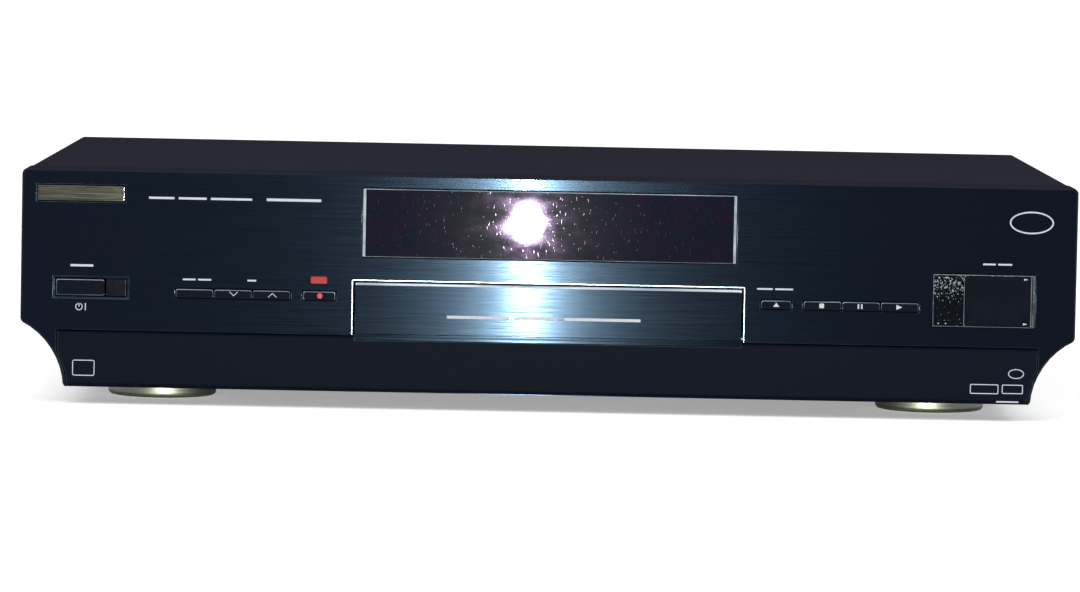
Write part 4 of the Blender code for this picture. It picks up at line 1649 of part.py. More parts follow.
def make_ribbon_cable():
    """The flat cable: out of the drive's rear wall, over a bend and down to the main board."""
    start = DRIVE_REAR_Y + SEAT_GAP
    high = BASE_Z + RIBBON_RISE
    end_y = MAIN_BOARD_FRONT_Y + RIBBON_BEND
    low = BOARD_TOP_Z + SEAT_GAP

    def run(offset):
        corners = [(start, high + offset, 0), (end_y + offset, high + offset, RIBBON_BEND + offset),
                   (end_y + offset, low, 0)]
        points = rounded_corners(corners + [(start, low, 0)], ROUND_STEPS)
        return points[:-1]

    outline = run(RIBBON_THICKNESS) + run(0)[::-1]
    shape = prism(outline, "X", -RIBBON_WIDTH / 2, RIBBON_WIDTH / 2)
    place("drive_ribbon_cable", shape, "ribbon_white")


# Feet
FOOT_RADIUS = 22.5 * MM
FOOT_X_INSET = 55.0 * MM
FOOT_FRONT_SETBACK = 60.0 * MM
FOOT_REAR_INSET = 45.0 * MM
FOOT_EDGE_RADIUS = 3.2 * MM
FOOT_NECK_RADIUS = 21.0 * MM
FOOT_NECK_HEIGHT = 1.2 * MM
FOOT_SIDES = 32


def make_feet():
    """Four round feet with a turned lower edge, the front pair set back under the face."""
    profile = [(0, 0), (FOOT_RADIUS - FOOT_EDGE_RADIUS, 0)]
    for step in range(1, 4):
        angle = math.pi / 2 * step / 3
        profile.append((FOOT_RADIUS - FOOT_EDGE_RADIUS * (1 - math.sin(angle)),
                        FOOT_EDGE_RADIUS * (1 - math.cos(angle))))
    top = FOOT_HEIGHT - SEAT_GAP
    profile += [(FOOT_RADIUS, top - FOOT_NECK_HEIGHT), (FOOT_NECK_RADIUS, top - FOOT_NECK_HEIGHT),
                (FOOT_NECK_RADIUS, top), (0, top)]
    x = HALF_WIDTH - FOOT_X_INSET
    for side, side_x in (("left", -x), ("right", x)):
        for end, y in (("front", FACE_Y + FOOT_FRONT_SETBACK), ("rear", REAR_PANEL_Y - FOOT_REAR_INSET)):
            shape = turned(profile, (side_x, y, 0), "Z", FOOT_SIDES)
            place(f"foot_{end}_{side}", shape, "satin_metal")


def make_traverse_group():
    """Everything that the traverse carries, on an empty at its hinge, let down to rest."""
    pivot = bpy.data.objects.new("traverse_hinge", None)
    pivot.location = (0, HINGE_Y, HINGE_Z)
    bpy.context.collection.objects.link(pivot)
    for make in (make_traverse, make_rods, make_turntable, make_pickup, make_lead_screw):
        make(pivot)
    pivot.rotation_euler = (LIFT_ANGLE, 0, 0)


def main():
    """Builds every piece."""
    clear_scene()
    make_front_panel()
    make_front_jack_panel()
    make_front_jacks()
    make_front_flap()
    make_display()
    make_front_board()
    for name in KEY_NAMES:
        make_key(name)
    make_sensor_window()
    make_time_slip_lens()
    make_badge()
    make_top_cover()
    make_chassis_base()
    make_rear_panel()
    make_disc_tray()
    make_tray_door()
    make_drive_frame()
    make_clamp()
    make_gear_train()
    make_traverse_group()
    make_hard_disk()
    make_main_board()
    make_power_board()
    make_rear_jacks()
    make_mains_inlet()
    make_fan()
    make_ribbon_cable()
    make_feet()


if __name__ == "__main__":
    main()
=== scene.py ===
"""The looks of the disc recorder: finishes, shaped pieces, printing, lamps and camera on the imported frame."""

import json
import logging
import math
from collections.abc import Sequence
from dataclasses import dataclass, field
from enum import Enum

import bmesh
import bpy
import numpy as np
from mathutils import Matrix, Vector

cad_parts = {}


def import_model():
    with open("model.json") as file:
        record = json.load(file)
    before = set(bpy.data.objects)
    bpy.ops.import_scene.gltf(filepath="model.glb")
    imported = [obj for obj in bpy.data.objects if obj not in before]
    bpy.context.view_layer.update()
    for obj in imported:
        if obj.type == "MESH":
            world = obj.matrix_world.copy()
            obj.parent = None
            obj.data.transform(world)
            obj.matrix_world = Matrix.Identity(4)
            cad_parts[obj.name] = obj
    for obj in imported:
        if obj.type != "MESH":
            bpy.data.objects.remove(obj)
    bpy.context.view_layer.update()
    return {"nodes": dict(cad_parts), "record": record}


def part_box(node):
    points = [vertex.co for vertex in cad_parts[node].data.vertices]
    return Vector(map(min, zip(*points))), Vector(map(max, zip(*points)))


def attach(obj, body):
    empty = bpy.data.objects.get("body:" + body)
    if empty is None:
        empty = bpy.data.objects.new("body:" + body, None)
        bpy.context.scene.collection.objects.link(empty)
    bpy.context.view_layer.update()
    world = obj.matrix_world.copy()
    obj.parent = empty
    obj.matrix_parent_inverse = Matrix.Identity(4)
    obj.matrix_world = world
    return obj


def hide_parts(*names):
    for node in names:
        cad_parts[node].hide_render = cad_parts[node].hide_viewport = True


LOG = logging.getLogger("recorder")
MM = 0.001
TURN = 2 * math.pi

# The planes of the panel's face and of the tray's door, and how far keys and window reach behind the face
FACE_Y = -169.0 * MM
DOOR_Y = -169.95 * MM
SEAT_DEPTH = 3.3 * MM
# A flat of this width ends each bevel, so that the bevel alone turns the light
BEVEL_STOP = 0.1 * MM
# A printed film starts this far inside its surface, and rises this far from it
PRINT_DEPTH = 0.02 * MM
PRINT_HEIGHT = 0.04 * MM
# Arrises sharper than this are rounded, and edges sharper than this shade as edges
ARRIS_ANGLE = math.radians(35)
SHARP_ANGLE = math.radians(32)
# Loose triangles are joined where their corners are this close and their faces this nearly level
MERGE_GAP = 0.002 * MM
LEVEL_ANGLE = math.radians(0.5)
ARRIS_FACES = 2
# A face whose normal's Y is below this faces forwards
FORWARDS = -0.98
# The brushed map's units to a metre
MAP_SCALE = 10
# A speck's soft edge, as a share of the noise, and the turn of the brushing's highlight, as a share of a circle
SPECK_EDGE = 0.04
HIGHLIGHT_TURN = 0.25
# Each imported node's body, filled from the record
BODIES: dict[str, str] = {}


def linear(hex_colour: str) -> tuple[float, float, float, float]:
    """Turn an sRGB colour into linear light, where c above 0.04045 is ((c + 0.055) / 1.055) ** 2.4.

    Args:
        hex_colour: The colour as six hex digits.

    Returns:
        Red, green and blue in linear light, and full alpha.
    """
    values = [int(hex_colour[start:start + 2], 16) / 255 for start in (0, 2, 4)]
    light = [c / 12.92 if c <= 0.04045 else ((c + 0.055) / 1.055) ** 2.4 for c in values]
    return light[0], light[1], light[2], 1.0


def add_node(tree: bpy.types.NodeTree, kind: str, settings: dict | None = None, values: dict | None = None,
             links: dict | None = None) -> bpy.types.Node:
    """Add a node with its settings, the values of its sockets and the links into it.

    Args:
        tree: The material's or world's node tree.
        kind: The node's type name.
        settings: Properties of the node itself.
        values: Default values by input socket.
        links: Output sockets by the input socket they feed.

    Returns:
        The new node.
    """
    node = tree.nodes.new(kind)
    for name, value in (settings or {}).items():
        setattr(node, name, value)
    for name, value in (values or {}).items():
        node.inputs[name].default_value = value
    for name, source in (links or {}).items():
        tree.links.new(source, node.inputs[name])
    return node


@dataclass(frozen=True)
class Finish:
    """A surface: what it is made of, and the pattern that its making left, sized in millimetres.

    The pattern is a noise field n(x / a, y / b, z / c) with a, b and c the grain's size along each axis. It mixes
    the two colours, spreads the roughness about its middle and lifts the bump. speck_rise is the height at which
    specks start to crowd, the height at which they crowd most, and what is added to their noise there.
    """

    name: str
    colour: str
    second: str
    roughness: float
    grain_mm: tuple[float, float, float]
    spread: float = 0.1
    bump: float = 0.1
    height_mm: float = 0.05
    metallic: float = 0.0
    specular: float = 0.5
    anisotropy: float = 0.0
    coat: float = 0.0
    coat_roughness: float = 0.1
    detail: float = 3.0
    contrast: tuple[float, float] = (0.3, 0.7)
    tint: str = "ffffff"
    speck: str = ""
    speck_mm: tuple[float, float, float] = (1.0, 1.0, 1.0)
    speck_roughness: float = 0.4
    speck_from: float = 0.72
    speck_rise: tuple[float, float, float] = (0.0, 1.0, 0.0)

    def material(self) -> bpy.types.Material:
        """Return the finish's material, made on first use."""
        found = bpy.data.materials.get(self.name)
        return found if found else self._made()

    def _made(self) -> bpy.types.Material:
        """Build the nodes: object coordinates, a sized noise, then colour, roughness and bump.

        Returns:
            The new material.
        """
        material = bpy.data.materials.new(self.name)
        material.use_nodes = True
        tree = material.node_tree
        shader = tree.nodes["Principled BSDF"]
        place = add_node(tree, "ShaderNodeTexCoord")
        scale = tuple(1 / (size * MM) for size in self.grain_mm)
        sized = add_node(tree, "ShaderNodeMapping", values={"Scale": scale}, links={"Vector": place.outputs["Object"]})
        noise = add_node(tree, "ShaderNodeTexNoise", values={"Scale": 1.0, "Detail": self.detail},
                         links={"Vector": sized.outputs["Vector"]})
        share = add_node(tree, "ShaderNodeMapRange",
                         values={"From Min": self.contrast[0], "From Max": self.contrast[1]},
                         links={"Value": noise.outputs["Fac"]})
        colour = add_node(tree, "ShaderNodeMix", {"data_type": "RGBA"},
                          {"A": linear(self.colour), "B": linear(self.second)},
                          {"Factor": share.outputs["Result"]})
        base = colour.outputs["Result"]
        rough = add_node(tree, "ShaderNodeMapRange",
                         values={"To Min": max(0.0, self.roughness - self.spread),
                                 "To Max": min(1.0, self.roughness + self.spread)},
                         links={"Value": share.outputs["Result"]}).outputs["Result"]
        if self.speck:
            base, rough = self._specked(tree, place.outputs["Object"], base, rough)
        bump = add_node(tree, "ShaderNodeBump", values={"Strength": self.bump, "Distance": self.height_mm * MM},
                        links={"Height": noise.outputs["Fac"]})
        tree.links.new(base, shader.inputs["Base Color"])
        tree.links.new(rough, shader.inputs["Roughness"])
        tree.links.new(bump.outputs["Normal"], shader.inputs["Normal"])
        constants = {"Metallic": self.metallic, "Specular IOR Level": self.specular, "Anisotropic": self.anisotropy,
                     "Anisotropic Rotation": HIGHLIGHT_TURN if self.anisotropy else 0.0,
                     "Coat Weight": self.coat, "Coat Roughness": self.coat_roughness,
                     "Specular Tint": linear(self.tint)}
        for socket, value in constants.items():
            shader.inputs[socket].default_value = value
        if self.anisotropy:
            along = add_node(tree, "ShaderNodeTangent", {"direction_type": "UV_MAP", "uv_map": "brushed"})
            tree.links.new(along.outputs["Tangent"], shader.inputs["Tangent"])
        return material

    def _specked(self, tree: bpy.types.NodeTree, place: bpy.types.NodeSocket, base: bpy.types.NodeSocket,
                 rough: bpy.types.NodeSocket) -> tuple[bpy.types.NodeSocket, bpy.types.NodeSocket]:
        """Lay sparse dull specks over a surface, where a fine noise passes a level, closer together higher up.

        Args:
            tree: The material's node tree.
            place: The object coordinates.
            base: The colour under the specks.
            rough: The roughness under the specks.

        Returns:
            The colour and the roughness with the specks.
        """
        scale = tuple(1 / (size * MM) for size in self.speck_mm)
        sized = add_node(tree, "ShaderNodeMapping", values={"Scale": scale}, links={"Vector": place})
        noise = add_node(tree, "ShaderNodeTexNoise", values={"Scale": 1.0, "Detail": 1.0},
                         links={"Vector": sized.outputs["Vector"]})
        bottom, top, closer = self.speck_rise
        height = add_node(tree, "ShaderNodeSeparateXYZ", links={"Vector": place}).outputs["Z"]
        raised = add_node(tree, "ShaderNodeMapRange", {"interpolation_type": "SMOOTHSTEP"},
                          {"From Min": bottom * MM, "From Max": top * MM, "To Max": closer}, {"Value": height})
        dense = add_node(tree, "ShaderNodeMath", {"operation": "ADD"})
        tree.links.new(noise.outputs["Fac"], dense.inputs[0])
        tree.links.new(raised.outputs["Result"], dense.inputs[1])
        level = add_node(tree, "ShaderNodeMapRange",
                         values={"From Min": self.speck_from, "From Max": self.speck_from + SPECK_EDGE},
                         links={"Value": dense.outputs["Value"]}).outputs["Result"]
        mixed = add_node(tree, "ShaderNodeMix", {"data_type": "RGBA"}, {"B": linear(self.speck)},
                         {"Factor": level, "A": base})
        dulled = add_node(tree, "ShaderNodeMix", {"data_type": "FLOAT"}, {"B": self.speck_roughness},
                          {"Factor": level, "A": rough})
        return mixed.outputs["Result"], dulled.outputs["Result"]


# Aluminium sheet brushed along its length and anodised blue black: hairlines that draw light out into a streak
BRUSHED_ANODISED = Finish("brushed_anodised_aluminium", "10151e", "121925", 0.24, (25.0, 3.0, 0.018), spread=0.19,
                          bump=0.03, height_mm=0.003, metallic=1.0, anisotropy=1.0, detail=2.0)
# Pale metal on the bevels of the keys and the sensor and round the tray's opening: a painted highlight, a thin pale
# line round each opening
PAINTED_EDGE_HIGHLIGHT = Finish("aluminium_edge_painted_highlight", "46505e", "6a7684", 0.3, (20.0, 2.0, 2.0), metallic=1.0,
                        spread=0.08, bump=0.05)
# The openings' arrises in metal a shade lighter than the face: a faint painted highlight along each edge
PAINTED_EDGE_SHEEN = Finish("aluminium_edge_painted_sheen", "232c38", "323d4a", 0.35, (20.0, 2.0, 2.0), metallic=1.0, spread=0.08,
                    bump=0.05)
# Brightest edges, on the door's wide chamfer: almost white metal, a painted highlight
PAINTED_CHAMFER_HIGHLIGHT = Finish("aluminium_chamfer_painted_highlight", "9aa6b4", "c6d0da", 0.25, (30.0, 2.0, 2.0), metallic=1.0,
                        spread=0.08, bump=0.05)
# ABS moulded in a lightly polished tool: an even blue black that hardly shines
MOULDED_ABS = Finish("moulded_abs_blue_black", "0c101b", "0f1421", 0.5, (1.2, 1.2, 1.2), spread=0.05, bump=0.05,
                     height_mm=0.02, specular=0.01)
# The flap's arris in a lighter grey: a painted highlight, a faint grey line
PAINTED_FLAP_EDGE_HIGHLIGHT = Finish("abs_edge_painted_highlight", "262e39", "323b46", 0.4, (9.0, 2.0, 2.0), specular=0.04)
# Dyed acrylic over the remote sensor: the keys' blue black, a little glossier
SENSOR_ACRYLIC = Finish("dyed_acrylic_filter", "0b0e18", "100f1b", 0.25, (6.0, 6.0, 6.0), spread=0.05, bump=0.0,
                        specular=0.02)
# The panel's body behind its aluminium face, moulded dull so that nothing shines at its edges
DULL_ABS = Finish("dull_moulded_abs", "1f2028", "272831", 0.8, (1.0, 1.0, 1.0), spread=0.05, specular=0.0)
# Steel sheet folded and coated with fine powder: a dull grey black with a sandy grain
POWDER_COATED = Finish("powder_coated_steel", "22232b", "2c2d36", 0.75, (0.7, 0.7, 0.7), bump=0.35,
                       height_mm=0.04, specular=0.0, detail=2.0)
# The cover's bends in a shade lighter than the flats: a painted highlight
PAINTED_BEND_HIGHLIGHT = Finish("powder_coat_bend_painted_highlight", "2e3038", "3b3d46", 0.6, (3.0, 3.0, 3.0), specular=0.0)
# Cast acrylic dyed deep plum and polished: near black, with dust and finger marks that show in its gloss
SMOKED_ACRYLIC = Finish("smoked_acrylic", "0a1620", "181120", 0.025, (10.0, 10.0, 6.0), spread=0.012, bump=0.0,
                        height_mm=0.02, specular=0.05, tint="cdaef0", coat=0.0014, coat_roughness=0.15,
                        speck="22202e", speck_mm=(0.5, 0.5, 2.0), speck_roughness=0.1, speck_from=0.706)
# The bevelled rim of that acrylic in pale grey: a painted highlight where the rim would gather light, also used for
# small painted glints
PAINTED_RIM_HIGHLIGHT = Finish("acrylic_rim_painted_highlight", "7f939f", "d3dde4", 0.16, (25.0, 3.0, 6.0), specular=0.6,
                      spread=0.08)
# The slip block's rim in grey: a dim painted highlight, with only its corners bright from painted glints
PAINTED_DIM_RIM_HIGHLIGHT = Finish("acrylic_rim_dim_painted_highlight", "4a5558", "7c888a", 0.25, (20.0, 3.0, 9.0), specular=0.3,
                 spread=0.08)
# Clear acrylic block over a dark core: a deep, wet black
CLEAR_BLOCK = Finish("clear_acrylic_block", "080d16", "0b111c", 0.1, (10.0, 10.0, 10.0), spread=0.04, bump=0.02,
                     specular=0.05)
# Clear acrylic stippled on its back as a light guide: dark with sparkling points
STIPPLED_BLOCK = Finish("stippled_acrylic_guide", "05080d", "0c121b", 0.4, (0.9, 0.9, 0.9), specular=0.005,
                        speck="8a9298", speck_mm=(0.6, 0.6, 0.8), speck_rise=(46.0, 54.0, 0.14))
# Aluminium turned on a lathe, then satin blasted: fine rings and a broad soft glow
TURNED_ALUMINIUM = Finish("turned_satin_aluminium", "83847f", "9a9b96", 0.46, (60.0, 60.0, 0.3), metallic=1.0,
                          bump=0.2, height_mm=0.02)
# Brass plate with a champagne wash, brushed and lacquered: a warm pale sheen
CHAMPAGNE_PLATE = Finish("champagne_lacquered_brass", "34332f", "4a4843", 0.16, (14.0, 2.0, 0.3), metallic=1.0,
                         spread=0.03, bump=0.05, height_mm=0.01)
# Screen-printed epoxy ink: flat, opaque and a little chalky
PALE_INK = Finish("pale_screen_ink", "b4bac4", "ccd1d8", 0.7, (0.6, 0.6, 0.6), specular=0.2)
# The same ink in red: flat and strong
RED_INK = Finish("red_screen_ink", "a01219", "b81d22", 0.6, (0.6, 0.6, 0.6), specular=0.2)
# Translucent polycarbonate dot with a lamp behind it: a saturated red, mottled with a paler red
RED_LENS = Finish("red_polycarbonate", "b81f2c", "e05a62", 0.4, (0.9, 0.9, 0.9), specular=0.05)
# Cold-rolled steel dipped in zinc: bright grey with a faint crystal pattern
ZINC_STEEL = Finish("zinc_plated_steel", "9a9da0", "b5b8ba", 0.36, (9.0, 9.0, 9.0), metallic=1.0, bump=0.06,
                    detail=5.0)
# Nickel-plated screw head: hard and bright
NICKEL_PLATE = Finish("nickel_plated_steel", "a8a49b", "c9c5bc", 0.22, (4.0, 4.0, 4.0), metallic=1.0, spread=0.06)
# Ground and polished steel: a clear, cool reflection
POLISHED_STEEL = Finish("polished_steel", "b9bcc0", "d4d6d9", 0.16, (20.0, 2.0, 20.0), metallic=1.0, spread=0.06,
                        bump=0.03)
# Die-cast aluminium straight from the mould: pale, slightly pitted
CAST_ALUMINIUM = Finish("die_cast_aluminium", "8d9092", "a6a9aa", 0.5, (1.4, 1.4, 1.4), metallic=1.0, spread=0.12,
                        bump=0.25, height_mm=0.08)
# Glass-filled ABS moulded in a sparked tool: matt black with a leathery grain
BLACK_ABS = Finish("sparked_black_abs", "121214", "1b1b1e", 0.52, (0.8, 0.8, 0.8), bump=0.25, specular=0.25)
# Black ABS edges a shade of grey: partly rubbing wear, partly a painted highlight
BLACK_ABS_WEAR_AND_HIGHLIGHT = Finish("black_abs_edge_wear_and_painted_highlight", "242427", "343438", 0.45, (5.0, 5.0, 5.0), specular=0.3)
# Grey ABS moulded smooth: a soft, even mid grey
GREY_ABS = Finish("grey_abs", "55585c", "626569", 0.45, (1.0, 1.0, 1.0), spread=0.08, bump=0.15, specular=0.4)
# Acetal gears: milky white and waxy
WHITE_ACETAL = Finish("white_acetal", "d2d1ca", "e0dfd8", 0.38, (3.0, 3.0, 3.0), spread=0.06, bump=0.08)
# Nylon dyed through and moulded: strong plain colours with a waxy shine
YELLOW_INSERT, WHITE_INSERT, RED_INSERT = (
    Finish(kind + "_nylon_insert", colour, second, 0.4, (2.0, 2.0, 2.0), spread=0.06, bump=0.08)
    for kind, colour, second in (("yellow", "c9a21c", "dcb52c"), ("white", "d6d5cf", "e4e3dd"),
                                 ("red", "a81c1e", "bd2c2b")))
# Glass-epoxy board under green solder mask: the weave shows faintly through the lacquer
SOLDER_MASK = Finish("green_solder_mask", "17402c", "1f5238", 0.32, (1.6, 1.6, 1.6), spread=0.08, bump=0.15,
                     detail=1.0)
# Nitrile rubber belt: dead matt, with a bloom of dust
NITRILE_RUBBER = Finish("nitrile_rubber", "161616", "202020", 0.8, (1.0, 1.0, 1.0), spread=0.08, bump=0.2,
                        specular=0.2)
# PVC ribbon cable: grey white, with a fine rib along each wire
PVC_RIBBON = Finish("pvc_ribbon", "b9b9b5", "cfcfca", 0.45, (1.27, 40.0, 40.0), spread=0.05, bump=0.6,
                    height_mm=0.2)
# Soda glass of the display tube, silvered inside: a dark green grey
TUBE_GLASS = Finish("display_tube_glass", "0d1412", "1a2422", 0.12, (6.0, 6.0, 3.0), spread=0.06)


class Mark(Enum):
    """A plain printed mark."""

    BAR = "filled bar"
    FRAME = "outlined box"
    RING = "outlined oval"
    DOT = "filled circle"
    UP = "triangle that points up"
    RIGHT = "triangle that points right"
    CHEVRON_UP = "open stroke that points up"
    CHEVRON_DOWN = "open stroke that points down"
    PAUSE = "two upright bars"
    STANDBY = "open ring with a stroke in its gap"


def arc(radius: float, start: float, end: float, steps: int) -> np.ndarray:
    """Return points of an arc in a plane, at radius * (cos a, sin a) for angles from start to end."""
    angles = np.linspace(start, end, steps)
    return radius * np.stack([np.cos(angles), np.sin(angles)], axis=1)


def unit_circle(steps: int) -> np.ndarray:
    """Return points once round a circle of radius 1, at (cos a, sin a), the last one a step before the first."""
    return arc(1.0, 0, TURN * (steps - 1) / steps, steps)


def rounded_outline(low: Sequence[float], high: Sequence[float], radius: float, steps: int) -> np.ndarray:
    """Outline of a rectangle with round corners, anticlockwise: each corner's centre plus an arc of a quarter turn.

    Args:
        low: The corner with the lowest X and Z.
        high: The corner with the highest X and Z.
        radius: The corners' radius.
        steps: Points on each corner.

    Returns:
        An array of X and Z, four times steps long.
    """
    x_low, z_low, x_high, z_high = low[0] + radius, low[1] + radius, high[0] - radius, high[1] - radius
    centres = ((x_high, z_low), (x_high, z_high), (x_low, z_high), (x_low, z_low))
    quarter = TURN / 4
    corners = [np.array(centre) + arc(radius, quarter * (index - 1), quarter * index, steps)
               for index, centre in enumerate(centres)]
    return np.concatenate(corners)


def at_depth(outline: np.ndarray, depth: float) -> np.ndarray:
    """Stand an outline of X and Z upright at a depth along Y."""
    return np.stack([outline[:, 0], np.full(len(outline), depth), outline[:, 1]], axis=1)


def flat_at(outline: np.ndarray, height: float) -> np.ndarray:
    """Lay an outline of X and Y flat at a height along Z."""
    return np.column_stack([outline, np.full(len(outline), height)])


@dataclass
class Shell:
    """Vertices and faces of one piece, gathered from surfaces, with a finish for each band of faces."""

    finishes: list[Finish]
    vertices: list[np.ndarray] = field(default_factory=list)
    faces: list[list[int]] = field(default_factory=list)
    slots: list[int] = field(default_factory=list)

    def _start(self, points: np.ndarray) -> int:
        """Add points and return the number of the first."""
        start = sum(len(group) for group in self.vertices)
        self.vertices.append(points)
        return start

    def loft(self, rings: Sequence[np.ndarray], bands: Sequence[int] = (), caps: tuple[int, int] = (0, 0),
             wrap: bool = False) -> "Shell":
        """Carry a closed ring of points through its places: face (i, j) joins point j and j + 1 of rings i and i + 1.

        Args:
            rings: The ring's places, with as many points in each.
            bands: The finish's number for each band between two rings, or none for the first finish.
            caps: The finish's number of the first and last ring's cap.
            wrap: Whether the last ring joins the first, with no caps.

        Returns:
            The shell itself.
        """
        grid = np.stack([np.asarray(ring, float) for ring in rings])
        count, size = grid.shape[:2]
        start = self._start(grid.reshape(-1, 3))
        rows = count if wrap else count - 1
        i, j = np.meshgrid(np.arange(rows), np.arange(size), indexing="ij")
        following, beside = (i + 1) % count, (j + 1) % size
        quads = start + np.stack([i * size + j, i * size + beside, following * size + beside, following * size + j], -1)
        self.faces += quads.reshape(-1, 4).tolist()
        self.slots += np.repeat(list(bands) or [0] * rows, size).tolist()
        if not wrap:
            self.faces += [list(range(start, start + size))[::-1],
                           list(range(start + (count - 1) * size, start + count * size))]
            self.slots += list(caps)
        return self

    def sheet(self, points: np.ndarray) -> "Shell":
        """Join a grid of points, one for each pair of parameters (u, v), into an open sheet of the first finish."""
        rows, columns = points.shape[:2]
        start = self._start(points.reshape(-1, 3))
        i, j = np.meshgrid(np.arange(rows - 1), np.arange(columns - 1), indexing="ij")
        first = start + i * columns + j
        quads = np.stack([first, first + 1, first + columns + 1, first + columns], -1).reshape(-1, 4)
        self.faces += quads.tolist()
        self.slots += [0] * len(quads)
        return self

    def piece(self, name: str, body: str, replaced: Sequence[str] = ()) -> None:
        """Make the shell an object that rides on a body.

        Args:
            name: The object's name.
            body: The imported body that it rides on.
            replaced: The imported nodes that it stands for.
        """
        mesh = bpy.data.meshes.new(name)
        mesh.from_pydata(np.concatenate(self.vertices).tolist(), [], self.faces)
        for finish in self.finishes:
            mesh.materials.append(finish.material())
        mesh.polygons.foreach_set("material_index", np.array(self.slots, np.int32))
        outward(mesh)
        weigh_normals(finished(mesh, name, body, replaced))


def outward(mesh: bpy.types.Mesh) -> None:
    """Turn every face of a mesh to point away from its inside."""
    work = bmesh.new()
    work.from_mesh(mesh)
    bmesh.ops.recalc_face_normals(work, faces=work.faces)
    work.to_mesh(mesh)
    work.free()


def lay_flat_map(mesh: bpy.types.Mesh) -> None:
    """Give a mesh the map that brushing follows, u along X and v along Z, one unit to a decimetre."""
    points = np.empty(len(mesh.vertices) * 3)
    mesh.vertices.foreach_get("co", points)
    corners = np.empty(len(mesh.loops), np.int64)
    mesh.loops.foreach_get("vertex_index", corners)
    where = points.reshape(-1, 3)[corners][:, (0, 2)] * MAP_SCALE
    layer = mesh.uv_layers.new(name="brushed")
    layer.uv.foreach_set("vector", where.astype(np.float32).ravel())


def finished(mesh: bpy.types.Mesh, name: str, body: str, replaced: Sequence[str]) -> bpy.types.Object:
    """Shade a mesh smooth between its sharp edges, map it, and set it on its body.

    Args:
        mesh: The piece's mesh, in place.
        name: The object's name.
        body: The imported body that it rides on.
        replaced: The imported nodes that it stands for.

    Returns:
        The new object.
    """
    mesh.shade_smooth()
    mesh.set_sharp_from_angle(angle=SHARP_ANGLE)
    lay_flat_map(mesh)
    piece = bpy.data.objects.new(name, mesh)
    bpy.context.scene.collection.objects.link(piece)
    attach(piece, body)
    if replaced:
        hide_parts(*replaced)
    LOG.info("%s: %d faces on %s", name, len(mesh.polygons), body)
    return piece


def softened(node: str, finish: Finish, edge: Finish, width_mm: float,
             inside: tuple[Sequence[float], Sequence[float]] | None = None, behind: Finish | None = None) -> None:
    """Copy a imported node, join its loose triangles, and round its arrises with the edge's own finish.

    Args:
        node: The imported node's name.
        finish: The finish of its faces.
        edge: The finish of its rounded arrises.
        width_mm: The arris's width.
        inside: The box, as its lowest and highest corners, that the arrises to round lie in, or None for all.
        behind: The finish of the faces that don't face forwards, or None where it is the same.
    """
    mesh = FRAME["nodes"][node].data.copy()
    mesh.name = node + "_dressed"
    mesh.materials.clear()
    for coat in (finish, edge, behind or finish):
        mesh.materials.append(coat.material())
    work = bmesh.new()
    work.from_mesh(mesh)
    bmesh.ops.remove_doubles(work, verts=work.verts, dist=MERGE_GAP)
    bmesh.ops.dissolve_limit(work, angle_limit=LEVEL_ANGLE, verts=work.verts, edges=work.edges)
    weight = work.edges.layers.float.new("bevel_weight_edge")
    for face in work.faces:
        face.material_index = 0 if face.normal.y < FORWARDS else 2
    for arris in work.edges:
        held = inside is None or all(low <= c <= high for vert in arris.verts
                                     for low, c, high in zip(inside[0], vert.co, inside[1]))
        arris[weight] = float(held and arris.is_manifold and arris.calc_face_angle(0.0) > ARRIS_ANGLE)
    work.to_mesh(mesh)
    work.free()
    piece = finished(mesh, node + "_dressed", BODIES[node], [node])
    bevel = piece.modifiers.new("arris", "BEVEL")
    bevel.width = width_mm * MM
    bevel.segments = ARRIS_FACES
    bevel.limit_method = "WEIGHT"
    bevel.use_clamp_overlap = False
    bevel.material = 1
    weigh_normals(piece)


def weigh_normals(piece: bpy.types.Object) -> None:
    """Let a piece's large faces shade flat, so that only its roundings turn the light."""
    weighted = piece.modifiers.new("flat_faces", "WEIGHTED_NORMAL")
    weighted.mode = "FACE_AREA"
    weighted.weight = 100
    weighted.keep_sharp = True


def recoat(kept: dict[Finish, tuple[str, ...]]) -> None:
    """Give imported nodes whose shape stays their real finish."""
    for finish, nodes in kept.items():
        for node in nodes:
            held = FRAME["nodes"][node].data.materials
            held.clear()
            held.append(finish.material())
            LOG.info("%s: kept, in %s", node, finish.name)


def corners_of(node: str) -> tuple[np.ndarray, np.ndarray]:
    """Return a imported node's lowest and highest corners."""
    low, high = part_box(node)
    return np.array(low), np.array(high)


